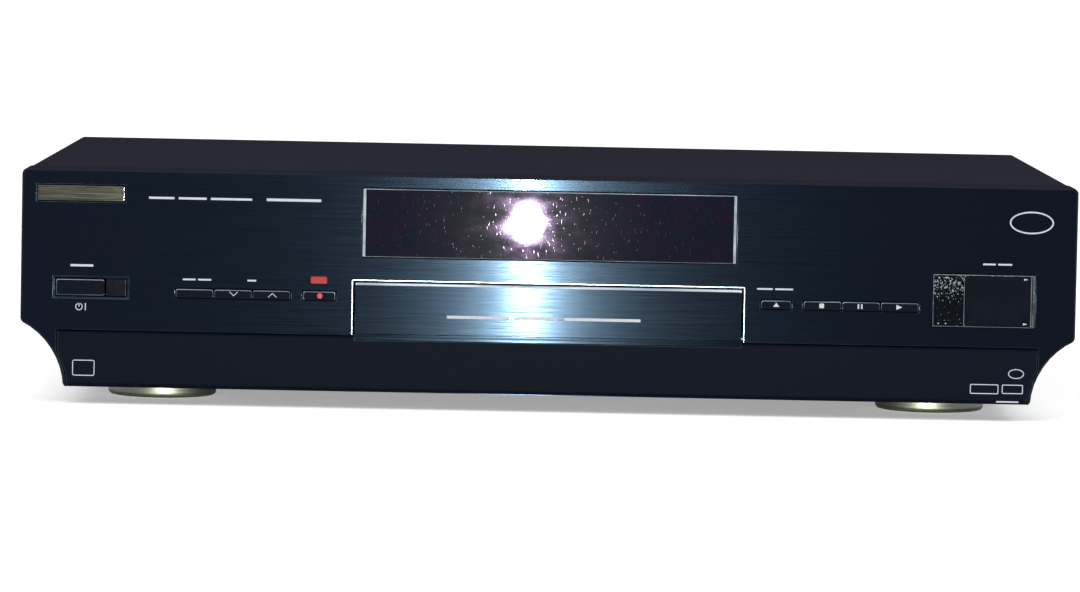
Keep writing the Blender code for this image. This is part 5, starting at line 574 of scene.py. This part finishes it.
def mark_outlines(mark: Mark, low: np.ndarray, high: np.ndarray, line: float) -> list[list[np.ndarray]]:
    """Work out a mark's outlines in X and Z: one outline is filled, and two make a band between them.

    Args:
        mark: The mark's kind.
        low: Its lowest corner.
        high: Its highest corner.
        line: The width of its strokes.

    Returns:
        A list of filled shapes and bands.
    """
    middle, half = (low + high) / 2, (high - low) / 2
    bar_corner_share, frame_corner_share, pause_bar_share, stroke_corner_share = 0.3, 0.25, 0.62, 0.2
    pause_corner, gap_ends = 0.02 * MM, (TURN * 0.31, TURN * 1.19)
    unit = {Mark.UP: [(-1, -1), (1, -1), (0, 1)], Mark.RIGHT: [(-1, -1), (1, 0), (-1, 1)]}
    if mark in unit:
        return [[middle + half * np.array(unit[mark])]]
    if mark is Mark.BAR:
        return [[rounded_outline(low, high, min(half) * bar_corner_share, 3)]]
    if mark is Mark.DOT:
        return [[middle + half * unit_circle(32)]]
    if mark is Mark.RING:
        round_once = unit_circle(40)
        return [[middle + half * round_once, middle + (half - line) * round_once]]
    if mark is Mark.FRAME:
        corner = min(half) * frame_corner_share
        return [[rounded_outline(low, high, corner, 4), rounded_outline(low + line, high - line, corner / 2, 4)]]
    if mark is Mark.PAUSE:
        bar = np.array([half[0] * pause_bar_share, 2 * half[1]])
        right = np.array([high[0] - bar[0], low[1]])
        return [[rounded_outline(place, place + bar, pause_corner, 2)] for place in (low, right)]
    if mark is Mark.STANDBY:
        outer, inner = arc(1.0, *gap_ends, 25), arc(1.0, *gap_ends[::-1], 25)
        stroke = (np.array([middle[0] - line / 2, middle[1]]), np.array([middle[0] + line / 2, high[1]]))
        hoop = np.concatenate([middle + half * outer, middle + (half - line) * inner])
        return [[hoop], [rounded_outline(*stroke, line * stroke_corner_share, 2)]]
    sign = 1 if mark is Mark.CHEVRON_UP else -1
    upper = middle + half * np.array([(-1, -1), (0, 1), (1, -1)]) * [1, sign]
    return [[np.concatenate([upper, (upper - [0, sign * line])[::-1]])]]


@dataclass
class Printing:
    """Marks of ink on one surface that faces forwards, each in its place in millimetres: X, Z above the foot."""

    name: str
    body: str
    surface_y: float
    ink: Finish
    line_mm: float = 0.35

    def lay(self, marks: Sequence[tuple[Mark, float, float, float, float]]) -> None:
        """Print the marks as a thin raised film.

        Args:
            marks: Each mark's kind with its lowest X, lowest Z, highest X and highest Z.
        """
        shell = Shell([self.ink])
        back, front = self.surface_y + PRINT_DEPTH, self.surface_y - PRINT_HEIGHT
        for mark, x_low, z_low, x_high, z_high in marks:
            low, high = np.array([x_low, z_low]) * MM, np.array([x_high, z_high]) * MM
            for outlines in mark_outlines(mark, low, high, self.line_mm * MM):
                if len(outlines) == 1:
                    shell.loft([at_depth(outlines[0], back), at_depth(outlines[0], front)])
                else:
                    outer, inner = outlines
                    shell.loft([at_depth(outer, back), at_depth(outer, front), at_depth(inner, front),
                                at_depth(inner, back)], wrap=True)
        shell.piece(self.name, self.body)


@dataclass
class Facets:
    """A block that faces forwards: its outline steps in from back to front by its own inset at each side."""

    low: np.ndarray
    high: np.ndarray
    radius: float = 0.6 * MM
    steps: int = 4

    def ring(self, depth: float, left: float = 0.0, right: float = 0.0, lower: float = 0.0,
             upper: float = 0.0) -> np.ndarray:
        """Return the outline at a depth, drawn in at each side.

        Args:
            depth: The ring's Y.
            left: Inset at the low X side.
            right: Inset at the high X side.
            lower: Inset at the low Z side.
            upper: Inset at the high Z side.

        Returns:
            The ring's points.
        """
        low = np.array([self.low[0] + left, self.low[2] + lower])
        high = np.array([self.high[0] - right, self.high[2] - upper])
        radius = max(self.radius - min(left, right, lower, upper), 0.02 * MM)
        return at_depth(rounded_outline(low, high, radius, self.steps), depth)

    def even(self, depth: float, inset: float = 0.0) -> np.ndarray:
        """Return the outline at a depth, drawn in evenly."""
        return self.ring(depth, inset, inset, inset, inset)

    def rounding(self, front: float, edge: float, insets: np.ndarray) -> list[np.ndarray]:
        """Return rings round a quarter turn: depth front + edge (1 - sin a), and each side's inset times 1 - cos a."""
        return [self.ring(front + edge * (1 - math.sin(a)), *(insets * (1 - math.cos(a))))
                for a in (TURN / 12, TURN / 6, TURN / 4)]


@dataclass
class FrontFace:
    """The brushed panel with its window, bare badge, sensor and printing."""

    window_bevel: float = 1.1 * MM
    window_lip: float = 0.3 * MM
    window_slope: float = 0.75 * MM
    window_flange: float = 2.5 * MM
    window_corner: float = 0.5 * MM
    badge_edge: float = 0.35 * MM
    badge_corner: float = 0.7 * MM
    badge_field_shares: tuple[float, float] = (2, 2.6)
    sensor_corner: float = 0.4 * MM
    sensor_bevel: float = 0.35 * MM
    sensor_slope: float = 0.3 * MM
    panel_rim: float = 2.0 * MM
    arris_mm: float = 0.25
    tray_opening_mm: tuple[float, float, float] = (79.7, 30.6, 52.75)
    tray_highlight_line_mm: float = 0.35
    ring_line_mm: float = 0.6

    def build(self) -> None:
        """Build every piece of the face."""
        low, high = corners_of("front_panel")
        rim = self.panel_rim
        openings = (low + [rim, -rim, rim], np.array([high[0] - rim, FACE_Y + rim, high[2] - rim]))
        # The openings' bevels take the lighter metal as a faint painted highlight; the rest of the body is dull ABS.
        softened("front_panel", BRUSHED_ANODISED, PAINTED_EDGE_SHEEN, self.arris_mm, openings, DULL_ABS)
        self.window()
        self.badge()
        self.sensor()
        self.arrises()
        self.printing()

    def window(self) -> None:
        """Build the window: a flange, upright sides, then wide bevels at its ends and thin ones above, in a pale finish
        that is a painted highlight.
        """
        low, high = corners_of("display_window")
        flange = self.window_flange
        plate = Facets(low + [flange, 0, flange], high - [flange, 0, flange], self.window_corner)
        front, sloped = low[1], low[1] + self.window_slope
        step, back = FACE_Y + SEAT_DEPTH, high[1]
        insets = np.array([self.window_bevel, self.window_bevel, self.window_lip, self.window_lip])
        rings = [plate.even(back, -flange), plate.even(step, -flange), plate.even(step), plate.even(sloped),
                 plate.ring(front, *insets), plate.ring(front, *(insets + BEVEL_STOP))]
        shell = Shell([SMOKED_ACRYLIC, PAINTED_RIM_HIGHLIGHT])
        # The bevel band is painted pale as a highlight.
        shell.loft(rings, [0, 0, 0, 1, 0])
        shell.piece("window_dressed", "case", ["display_window"])

    def badge(self) -> None:
        """Build the bare badge: a plate with a rounded rim and a shallow sunk field."""
        low, high = corners_of("name_plate")
        plate = Facets(low, high, self.badge_corner)
        edge = self.badge_edge
        rim, field_edge = (edge * share for share in self.badge_field_shares)
        rings = [plate.even(high[1]), plate.even(low[1] + edge), *plate.rounding(low[1], edge, np.full(4, edge)),
                 plate.even(low[1], rim), plate.even(low[1] + edge / 2, field_edge)]
        Shell([CHAMPAGNE_PLATE]).loft(rings).piece("badge_dressed", "case", ["name_plate"])

    def sensor(self) -> None:
        """Build the remote sensor's filter beside the power key, with a pale bevel at its outer end as a painted
        highlight.
        """
        low, high = corners_of("sensor_window")
        plate = Facets(low, high, self.sensor_corner)
        insets = np.array([0.0, self.sensor_bevel, 0.0, 0.0])
        rings = [plate.even(high[1]), plate.even(low[1] + self.sensor_slope), plate.ring(low[1], *insets),
                 plate.ring(low[1], *(insets + BEVEL_STOP))]
        # The bevel at the outer end is pale metal: a painted highlight.
        shell = Shell([SENSOR_ACRYLIC, PAINTED_EDGE_HIGHLIGHT]).loft(rings, [0, 1, 0])
        shell.piece("sensor_dressed", "case", ["sensor_window"])

    def arrises(self) -> None:
        """Lay pale strips on the face at the top and sides of the tray's opening: painted highlights where the light
        would run along the sheet's edge.
        """
        (half, foot, top), line = self.tray_opening_mm, self.tray_highlight_line_mm
        marks = [(Mark.BAR, -half - line, foot, -half, top + line), (Mark.BAR, half, foot, half + line, top + line),
                 (Mark.BAR, -half - line, top, half + line, top + line)]
        Printing("tray_opening_painted_highlight", "case", FACE_Y, PAINTED_EDGE_HIGHLIGHT).lay(marks)

    def printing(self) -> None:
        """Print plain bars where words are, a plain ring at the upper right, and the standby sign."""
        bars = ((-163.3, 84.4, -152.9, 85.3), (-151.2, 84.4, -139.8, 85.3), (-138.1, 84.4, -121.3, 85.3),
                (-115.4, 84.4, -93.2, 85.5), (-194.8, 56.3, -185.5, 57.2), (-149.0, 51.5, -143.8, 52.2),
                (-142.8, 51.5, -137.4, 52.2), (-122.7, 51.5, -119.1, 52.2), (84.9, 52.2, 91.3, 52.9),
                (92.3, 52.2, 99.6, 52.9), (176.7, 64.0, 181.9, 64.7), (182.9, 64.0, 188.6, 64.7))
        words = [(Mark.BAR, *place) for place in bars]
        words += [(Mark.STANDBY, -192.6, 38.4, -189.6, 41.4), (Mark.BAR, -188.7, 38.4, -188.3, 41.4)]
        Printing("panel_printing", "case", FACE_Y, PALE_INK).lay(words)
        ring = Printing("upper_right_ring", "case", FACE_Y, PALE_INK, self.ring_line_mm)
        ring.lay([(Mark.RING, 187.2, 77.0, 205.2, 86.2)])
        Printing("hard_disk_bar", "case", FACE_Y, RED_INK).lay([(Mark.BAR, -96.8, 51.2, -90.3, 54.0)])


@dataclass
class Keys:
    """The keys of the face, each a crowned cap on a flange and a stem, with its plain sign."""

    flange: float = 1.2 * MM
    stem_gap: float = 1.2 * MM
    edge: float = 0.4 * MM
    corner: float = 0.8 * MM
    insets: tuple[float, float, float, float] = (0.22 * MM, 0.22 * MM, 0.0, 0.42 * MM)

    def build(self) -> None:
        """Build each key with its sign, riding on its own button body."""
        signs = {
            "power_key": [], "rec_mode_key": [],
            "channel_down_key": [(Mark.CHEVRON_DOWN, -129.9, 45.4, -126.5, 47.0)],
            "channel_up_key": [(Mark.CHEVRON_UP, -114.1, 45.4, -110.7, 47.0)],
            "record_key": [(Mark.DOT, -94.2, 45.1, -92.0, 47.3)],
            "open_close_key": [(Mark.UP, 91.6, 45.4, 94.1, 47.1)],
            "stop_key": [(Mark.BAR, 110.4, 45.2, 112.3, 47.1)],
            "pause_key": [(Mark.PAUSE, 126.0, 45.2, 128.0, 47.1)],
            "play_key": [(Mark.RIGHT, 141.8, 45.1, 144.1, 47.2)],
        }
        for node, marks in signs.items():
            body = BODIES[node]
            self.cap(node, body)
            if marks:
                low, _ = corners_of(node)
                ink = RED_LENS if node == "record_key" else PALE_INK
                Printing(node + "_sign", body, low[1], ink).lay(marks)

    def cap(self, node: str, body: str) -> None:
        """Build one key's cap, flange and stem.

        Args:
            node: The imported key.
            body: The button body that it rides on.
        """
        low, high = corners_of(node)
        lift = self.flange
        face = Facets(low + [0, 0, lift], high - [0, 0, lift], self.corner)
        own = {"power_key": (0.35 * MM, 0.0, 0.4 * MM, 0.4 * MM), "record_key": (0.5 * MM, 0.35 * MM, 0.0, 0.35 * MM)}
        insets = np.array(own.get(node, self.insets))
        front, step = low[1], FACE_Y + SEAT_DEPTH
        stem = min(high[0] - low[0], high[2] - low[2]) / 2 - self.stem_gap
        rings = [face.even(high[1], stem - self.flange), face.even(step + self.flange, stem - self.flange),
                 face.ring(step + self.flange, 0, 0, -lift, -lift), face.ring(step, 0, 0, -lift, -lift),
                 face.even(step), face.even(front + self.edge)]
        rings += [*face.rounding(front, self.edge, insets), face.ring(front, *(insets + BEVEL_STOP))]
        # The rounding bands are pale metal: a painted highlight round each key.
        bands = [0] * 5 + [1, 1, 1, 0]
        Shell([MOULDED_ABS, PAINTED_EDGE_HIGHLIGHT]).loft(rings, bands).piece(node + "_dressed", body, [node])


@dataclass
class SlipBlock:
    """The clear block at the right: a stippled light guide and a large key whose rim is a dim painted highlight."""

    rim: float = 0.45 * MM
    slope: float = 0.3 * MM
    corner: float = 0.5 * MM
    stem_inset: float = 6 * MM
    stem_step: float = 1.2 * MM
    arris_mm: float = 0.25
    arris_reach: float = 1.0 * MM

    def build(self) -> None:
        """Build the guide, the key, and the small painted glints at their corners."""
        low, high = corners_of("time_slip_lens")
        reach = self.arris_reach
        inner = np.array([high[0] - reach, low[1] + reach, high[2] + reach])
        # The guide's bevels near the key are grey: a dim painted highlight.
        softened("time_slip_lens", STIPPLED_BLOCK, PAINTED_DIM_RIM_HIGHLIGHT, self.arris_mm, (low - reach, inner))
        guide_front, left = low[1], low[0] / MM
        low, high = corners_of("time_slip_key")
        right, bottom, top = high[0] / MM, low[2] / MM, high[2] / MM
        # Pale dots at the guide's corners and triangles at the key's right end: painted glints.
        dots = [(Mark.DOT, left + x, z, left + x + 0.5, z + 0.5) for x in (3.6, 6.6) for z in (bottom + 1.0, top - 1.6)]
        Printing("guide_painted_glints", "case", guide_front, PAINTED_RIM_HIGHLIGHT).lay(dots)
        ends = [(Mark.RIGHT, right - 3.4, z, right - 1.6, z + 0.9) for z in (bottom + 1.1, top - 2.0)]
        Printing("slip_key_painted_glints", BODIES["time_slip_key"], low[1], PAINTED_RIM_HIGHLIGHT).lay(ends)
        face = Facets(low, high, self.corner)
        front, step = low[1], FACE_Y + SEAT_DEPTH + self.stem_step
        insets = np.array([0.0, self.rim, self.rim, self.rim])
        rings = [face.even(high[1], self.stem_inset), face.even(step, self.stem_inset), face.even(step),
                 face.even(front + self.slope), face.ring(front, *insets), face.ring(front, *(insets + BEVEL_STOP))]
        # The key's sloped rim is grey: a dim painted highlight.
        shell = Shell([CLEAR_BLOCK, PAINTED_DIM_RIM_HIGHLIGHT, DULL_ABS]).loft(rings, [2, 2, 2, 1, 0])
        shell.piece("time_slip_key_dressed", BODIES["time_slip_key"], ["time_slip_key"])


@dataclass
class TrayAssembly:
    """The tray and the brushed door on its front."""

    chamfer: float = 0.9 * MM
    side: float = 0.35 * MM
    slope: float = 0.6 * MM
    corner: float = 0.8 * MM
    arris_mm: float = 0.3

    def build(self) -> None:
        """Build the door, its plain printed line and the tray."""
        low, high = corners_of("tray_door")
        door = Facets(low, high, self.corner)
        insets = np.array([self.side, self.side, self.side, self.chamfer])
        rings = [door.even(high[1]), door.even(DOOR_Y + self.slope), door.ring(DOOR_Y, *insets),
                 door.ring(DOOR_Y, *(insets + BEVEL_STOP))]
        # The chamfer band, widest along the top, is almost white: a painted highlight.
        shell = Shell([BRUSHED_ANODISED, PAINTED_CHAMFER_HIGHLIGHT]).loft(rings, [0, 1, 0])
        shell.piece("tray_door_dressed", "tray", ["tray_door"])
        words = [(Mark.BAR, -41.2, 38.0, -16.0, 39.2), (Mark.BAR, -13.8, 38.0, 3.6, 39.2),
                 (Mark.BAR, 6.6, 38.0, 37.7, 39.2)]
        Printing("tray_door_printing", "tray", DOOR_Y, PALE_INK).lay(words)
        # The tray's arrises are grey: partly wear, partly a painted highlight.
        softened("disc_tray", BLACK_ABS, BLACK_ABS_WEAR_AND_HIGHLIGHT, self.arris_mm)


@dataclass
class FlapAndJacks:
    """The fold-down flap with its plain marks, and the sockets behind it."""

    flap_arris_mm: float = 0.3
    panel_arris_mm: float = 0.2
    jack_arris_mm: float = 0.15

    def build(self) -> None:
        """Build the flap, its printing and the jacks."""
        # The flap's arrises are a lighter grey: a painted highlight.
        softened("front_flap", MOULDED_ABS, PAINTED_FLAP_EDGE_HIGHLIGHT, self.flap_arris_mm)
        marks = [(Mark.FRAME, -193.5, 11.7, -184.4, 18.2), (Mark.RING, 188.0, 17.8, 194.5, 21.8),
                 (Mark.FRAME, 172.6, 11.4, 184.2, 15.4), (Mark.FRAME, 185.6, 11.6, 194.2, 15.4),
                 (Mark.BAR, 183.4, 8.0, 192.5, 8.6)]
        Printing("flap_printing", "flap", FACE_Y, PALE_INK).lay(marks)
        # Their arrises are grey: partly wear, partly a painted highlight.
        softened("front_jack_panel", BLACK_ABS, BLACK_ABS_WEAR_AND_HIGHLIGHT, self.panel_arris_mm)
        softened("front_s_video_socket", BLACK_ABS, BLACK_ABS_WEAR_AND_HIGHLIGHT, self.jack_arris_mm)
        jacks = {"video": YELLOW_INSERT, "audio_left": WHITE_INSERT, "audio_right": RED_INSERT}
        for kind, insert in jacks.items():
            softened("front_" + kind + "_jack", insert, insert, self.jack_arris_mm)


@dataclass
class Foot:
    """A turned foot: the profile radius r at height z goes once round its axis, at (r cos a, r sin a, z)."""

    node: str
    sides: int = 64
    # Each ring's inset from the widest radius and its height above the tread
    profile_mm: tuple[tuple[float, float], ...] = ((2.2, 0.0), (1.1, 0.25), (0.4, 0.8), (0.1, 1.4), (0.0, 2.0),
                                                   (0.0, 4.7), (0.3, 5.2), (1.5, 5.4))

    def build(self) -> None:
        """Build the foot with a rounded tread, a raised belt and its neck under the case."""
        low, high = corners_of(self.node)
        x, y = (low + high)[:2] / 2
        radius, top = (high[0] - low[0]) / 2, high[2]
        profile = [(radius - inset * MM, z * MM) for inset, z in self.profile_mm]
        profile.append((profile[-1][0], top))
        rings = [flat_at(np.array([x, y]) + r * unit_circle(self.sides), z) for r, z in profile]
        shell = Shell([TURNED_ALUMINIUM, NITRILE_RUBBER]).loft(rings, caps=(1, 0))
        shell.piece(self.node + "_dressed", "case", [self.node])


@dataclass
class Screw:
    """A pan-head screw with a cross recess, on a surface that faces along one axis."""

    radius: float = 3.0 * MM
    height: float = 1.0 * MM
    sides: int = 24
    # Rings over the head, as shares of its radius and height, then the recess's mean radius, its swing and its floor
    head_shares: tuple[tuple[float, float], ...] = ((1.0, -0.3), (1.0, 0.25), (0.9, 0.65), (0.72, 0.9), (0.6, 1.0))
    recess_shares: tuple[float, float, float] = (0.42, 0.14, 0.3)

    def add(self, shell: Shell, place: Sequence[float], out: Sequence[float]) -> None:
        """Add a head to a shell: rings at radius r and height h out from the surface, at r cos a and r sin a across.

        The recess's radius is middle + swing cos 4a, which makes a cross.

        Args:
            shell: The shell that gathers the heads.
            place: The middle of the head's seat.
            out: The direction that the head faces.
        """
        along = np.array(out, float)
        across = np.cross(along, [0.0, 0.0, 1.0]) if abs(along[2]) < 0.5 else np.array([1.0, 0.0, 0.0])
        upward = np.cross(along, across)
        circle, (middle, swing, foot) = unit_circle(self.sides), self.recess_shares
        flat = circle[:, :1] * across + circle[:, 1:] * upward
        angles = np.linspace(0, TURN * (self.sides - 1) / self.sides, self.sides)
        cross = middle + swing * np.cos(4 * angles)[:, None]
        steps = [*self.head_shares, (cross, 1.0), (cross, foot)]
        rings = [np.array(place) + self.radius * r * flat + self.height * h * along for r, h in steps]
        shell.loft(rings)


@dataclass
class Case:
    """The folded cover, the pan, the rear panel, the feet and the screws."""

    cover_arris_mm: float = 0.3
    sheet_arris_mm: float = 0.15
    # Y and Z of the screws in each side, then X and Z of those at the back
    side_screws: tuple[tuple[float, float], ...] = ((-0.105, 0.046), (0.125, 0.046))
    rear_screws: tuple[tuple[float, float], ...] = ((-0.2, 0.088), (0.0, 0.088), (0.2, 0.088), (-0.12, 0.02),
                                                    (0.105, 0.02))
    rear_screw_radius: float = 2.6 * MM

    def build(self) -> None:
        """Build the case's outer pieces."""
        # The cover's bends are a shade lighter: a painted highlight.
        softened("top_cover", POWDER_COATED, PAINTED_BEND_HIGHLIGHT, self.cover_arris_mm)
        # The sheets' bevels take the paler polished steel: a painted highlight.
        for node in ("chassis_base", "rear_panel"):
            softened(node, ZINC_STEEL, POLISHED_STEEL, self.sheet_arris_mm)
        for node in ("foot_front_left", "foot_front_right", "foot_rear_left", "foot_rear_right"):
            Foot(node).build()
        self.screws()

    def screws(self) -> None:
        """Set the screws in the cover's sides and along the rear panel."""
        low, high = corners_of("top_cover")
        shell = Shell([NICKEL_PLATE])
        for side in (-1, 1):
            edge = high[0] if side > 0 else low[0]
            for y, z in self.side_screws:
                Screw().add(shell, (edge, y, z), (side, 0, 0))
        shell.piece("cover_screws", "case")
        rear = corners_of("rear_panel")[1][1]
        shell = Shell([NICKEL_PLATE])
        for x, z in self.rear_screws:
            Screw(self.rear_screw_radius).add(shell, (x, rear, z), (0, 1, 0))
        shell.piece("rear_screws", "case")


@dataclass
class JackFlanges:
    """The coloured flanges round the rear jacks: radius r and height h go round each barrel's axis.

    A ring's points are (x + r cos a, y + h, z - r sin a).
    """

    radius: float = 6.2 * MM
    height: float = 1.4 * MM
    pitch: float = 16 * MM
    row: float = 18 * MM
    margin: float = 9 * MM
    sides: int = 32
    # Rings from the panel to the barrel, as shares of the radius and height
    profile_shares: tuple[tuple[float, float], ...] = ((1.0, -0.2), (1.0, 0.6), (0.94, 0.9), (0.86, 1.0), (0.3, 1.0))

    def build(self) -> None:
        """Set the flanges in columns of one colour, every third column alike."""
        low, high = corners_of("rear_jack_block")
        face = corners_of("rear_panel")[1][1]
        circle = self.radius * unit_circle(self.sides)
        flat = np.column_stack([circle[:, 0], 0 * circle[:, 0], -circle[:, 1]])
        kinds = {"video": YELLOW_INSERT, "audio_left": WHITE_INSERT, "audio_right": RED_INSERT}
        for first, (kind, finish) in enumerate(kinds.items()):
            shell = Shell([finish])
            for column in (first, first + 3):
                for line in (0, 1):
                    place = [low[0] + self.margin + column * self.pitch, face, high[2] - self.margin - line * self.row]
                    shell.loft([np.array(place) + r * flat + [0, self.height * h, 0] for r, h in self.profile_shares])
            shell.piece("rear_" + kind + "_flanges", "case")


@dataclass
class Inside:
    """The drive, the hard disk, the boards and the rear fittings, which stay as packed with their real finishes."""

    arris_mm: float = 0.2
    rotor_arris_mm: float = 0.15

    def build(self) -> None:
        """Soften what shows from behind or with the tray out, and recoat the rest."""
        # Their arrises are grey: partly wear, partly a painted highlight.
        for node in ("rear_jack_block", "mains_inlet", "fan_housing", "drive_frame"):
            softened(node, BLACK_ABS, BLACK_ABS_WEAR_AND_HIGHLIGHT, self.arris_mm)
        JackFlanges().build()
        # Its bevels take the paler polished steel: a painted highlight.
        softened("tuner_module", ZINC_STEEL, POLISHED_STEEL, self.arris_mm)
        softened("fan_rotor", GREY_ABS, GREY_ABS, self.rotor_arris_mm)
        recoat({
            TUBE_GLASS: ("display_tube",), SOLDER_MASK: ("front_board", "main_board", "power_board"),
            ZINC_STEEL: ("clamp_bridge",), BLACK_ABS: ("disc_clamp", "optical_pickup"), GREY_ABS: ("turntable",),
            CAST_ALUMINIUM: ("traverse_frame", "hard_disk_case", "hard_disk_arm"),
            POLISHED_STEEL: ("pickup_rod_left", "pickup_rod_right", "spindle_motor", "lead_screw", "feed_motor",
                             "loading_motor", "hard_disk_cover", "hard_disk_platters"),
            WHITE_ACETAL: ("tray_gear", "pulley_gear", "motor_pulley"), NITRILE_RUBBER: ("drive_belt",),
            PVC_RIBBON: ("drive_ribbon_cable",),
        })


@dataclass
class Studio:
    """A pale floor, soft light at a plain level, a small flash lamp, and the photograph's camera."""

    camera_place: tuple[float, float, float] = (-0.0133, -2.7059, 0.2139)
    yaw: float = math.radians(0.2227)
    pitch: float = math.radians(3.7442)
    roll: float = math.radians(1.1369)
    lens_mm: float = 208.05
    sensor_mm: float = 36.0
    far: float = 200.0
    lamp_aim: tuple[float, float, float] = (0, 0, 0.05)
    lamp_side: float = 1.6
    flash_place: tuple[float, float, float] = (-0.0077, -1.169, 0.0237)
    flash_colour: tuple[float, float, float] = (0.93, 1.0, 0.76)
    flash_watts: float = 65.0
    flash_radius: float = 0.008
    floor_half: float = 40.0
    lit_share: float = 0.75
    floor_lift: float = 0.35

    def build(self) -> None:
        """Set up the floor, the world, the lamps and the camera."""
        self.floor()
        self.world()
        self.lamp("key_light", (-0.9, -2.0, 1.9), watts=26.0)
        self.lamp("fill_light", (1.4, -1.2, 1.6), watts=14.0)
        self.flash()
        self.camera()

    def floor(self) -> None:
        """Lay a matt white sheet whose point (u, v) is at (u, v, 0)."""
        span = np.linspace(-self.floor_half, self.floor_half, 9)
        x, y = np.meshgrid(span, span)
        shell = Shell([]).sheet(np.stack([x, y, np.zeros_like(x)], -1))
        mesh = bpy.data.meshes.new("floor")
        mesh.from_pydata(np.concatenate(shell.vertices).tolist(), [], shell.faces)
        material = bpy.data.materials.new("matt_white_paper")
        material.use_nodes = True
        shader = material.node_tree.nodes["Principled BSDF"]
        shader.inputs["Base Color"].default_value = (0.97, 0.97, 0.97, 1.0)
        shader.inputs["Roughness"].default_value = 1.0
        shader.inputs["Specular IOR Level"].default_value = 0.0
        shader.inputs["Emission Color"].default_value = (1.0, 1.0, 1.0, 1.0)
        path = add_node(material.node_tree, "ShaderNodeLightPath")
        lift = add_node(material.node_tree, "ShaderNodeMath", {"operation": "MULTIPLY"}, {1: self.floor_lift},
                        {0: path.outputs["Is Camera Ray"]})
        material.node_tree.links.new(lift.outputs[0], shader.inputs["Emission Strength"])
        mesh.materials.append(material)
        sheet = bpy.data.objects.new("floor", mesh)
        bpy.context.scene.collection.objects.link(sheet)

    def world(self) -> None:
        """Make the world white to the camera, gloss and glass, and a little dimmer as light."""
        world = bpy.data.worlds.new("studio")
        world.use_nodes = True
        tree = world.node_tree
        path = add_node(tree, "ShaderNodeLightPath")
        seen = add_node(tree, "ShaderNodeMath", {"operation": "MAXIMUM"},
                        links={0: path.outputs["Is Camera Ray"], 1: path.outputs["Is Glossy Ray"]})
        shown = add_node(tree, "ShaderNodeMath", {"operation": "MAXIMUM"},
                         links={0: seen.outputs[0], 1: path.outputs["Is Transmission Ray"]})
        strength = add_node(tree, "ShaderNodeMapRange", values={"To Min": self.lit_share, "To Max": 1.0},
                            links={"Value": shown.outputs[0]})
        tree.nodes["Background"].inputs["Color"].default_value = (1.0, 1.0, 1.0, 1.0)
        tree.links.new(strength.outputs["Result"], tree.nodes["Background"].inputs["Strength"])
        bpy.context.scene.world = world
        bpy.context.scene.view_settings.view_transform = "Standard"

    def lamp(self, name: str, place: Sequence[float], watts: float) -> None:
        """Hang a square soft lamp that faces the object.

        Args:
            name: The lamp's name.
            place: Where it hangs.
            watts: Its power.
        """
        light = bpy.data.lights.new(name, "AREA")
        light.energy, light.size = watts, self.lamp_side
        hung = bpy.data.objects.new(name, light)
        turn = (Vector(self.lamp_aim) - Vector(place)).to_track_quat("-Z", "Y")
        hung.matrix_world = Matrix.Translation(place) @ turn.to_matrix().to_4x4()
        hung.visible_camera = False
        bpy.context.scene.collection.objects.link(hung)

    def flash(self) -> None:
        """Put a small lamp by the lens's line, seen only in gloss, for the streak on the brushed face."""
        light = bpy.data.lights.new("flash_lamp", "POINT")
        light.energy, light.shadow_soft_size = self.flash_watts, self.flash_radius
        light.color = self.flash_colour
        hung = bpy.data.objects.new("flash_lamp", light)
        hung.location = self.flash_place
        hung.visible_camera = hung.visible_diffuse = False
        bpy.context.scene.collection.objects.link(hung)

    def camera(self) -> None:
        """Aim the camera by yaw, pitch and roll: right is (cos yaw, -sin yaw, 0), turned about forward by the roll."""
        cy, sy, cp, sp = math.cos(self.yaw), math.sin(self.yaw), math.cos(self.pitch), math.sin(self.pitch)
        right, forward = Vector((cy, -sy, 0)), Vector((sy * cp, cy * cp, -sp))
        above = Vector((sy * sp, cy * sp, cp))
        cr, sr = math.cos(self.roll), math.sin(self.roll)
        turned_right, turned_up = right * cr + above * sr, above * cr - right * sr
        frame = Matrix((turned_right, turned_up, -forward)).transposed().to_4x4()
        data = bpy.data.cameras.new("camera")
        data.lens, data.sensor_width, data.clip_end = self.lens_mm, self.sensor_mm, self.far
        camera = bpy.data.objects.new("camera", data)
        camera.matrix_world = Matrix.Translation(self.camera_place) @ frame
        bpy.context.scene.collection.objects.link(camera)
        bpy.context.scene.camera = camera


def main() -> None:
    """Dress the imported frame, light it and aim the camera."""
    for body, nodes in FRAME["record"]["behaviour"]["bodies"].items():
        BODIES.update({node: body for node in nodes})
    for assembly in (FrontFace(), Keys(), SlipBlock(), TrayAssembly(), FlapAndJacks(), Case(), Inside(), Studio()):
        LOG.info("building %s", type(assembly).__name__)
        assembly.build()


if __name__ == "__main__":
    logging.basicConfig(level=logging.INFO, format="%(message)s")
    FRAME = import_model()
    main()
    bpy.context.view_layer.update()
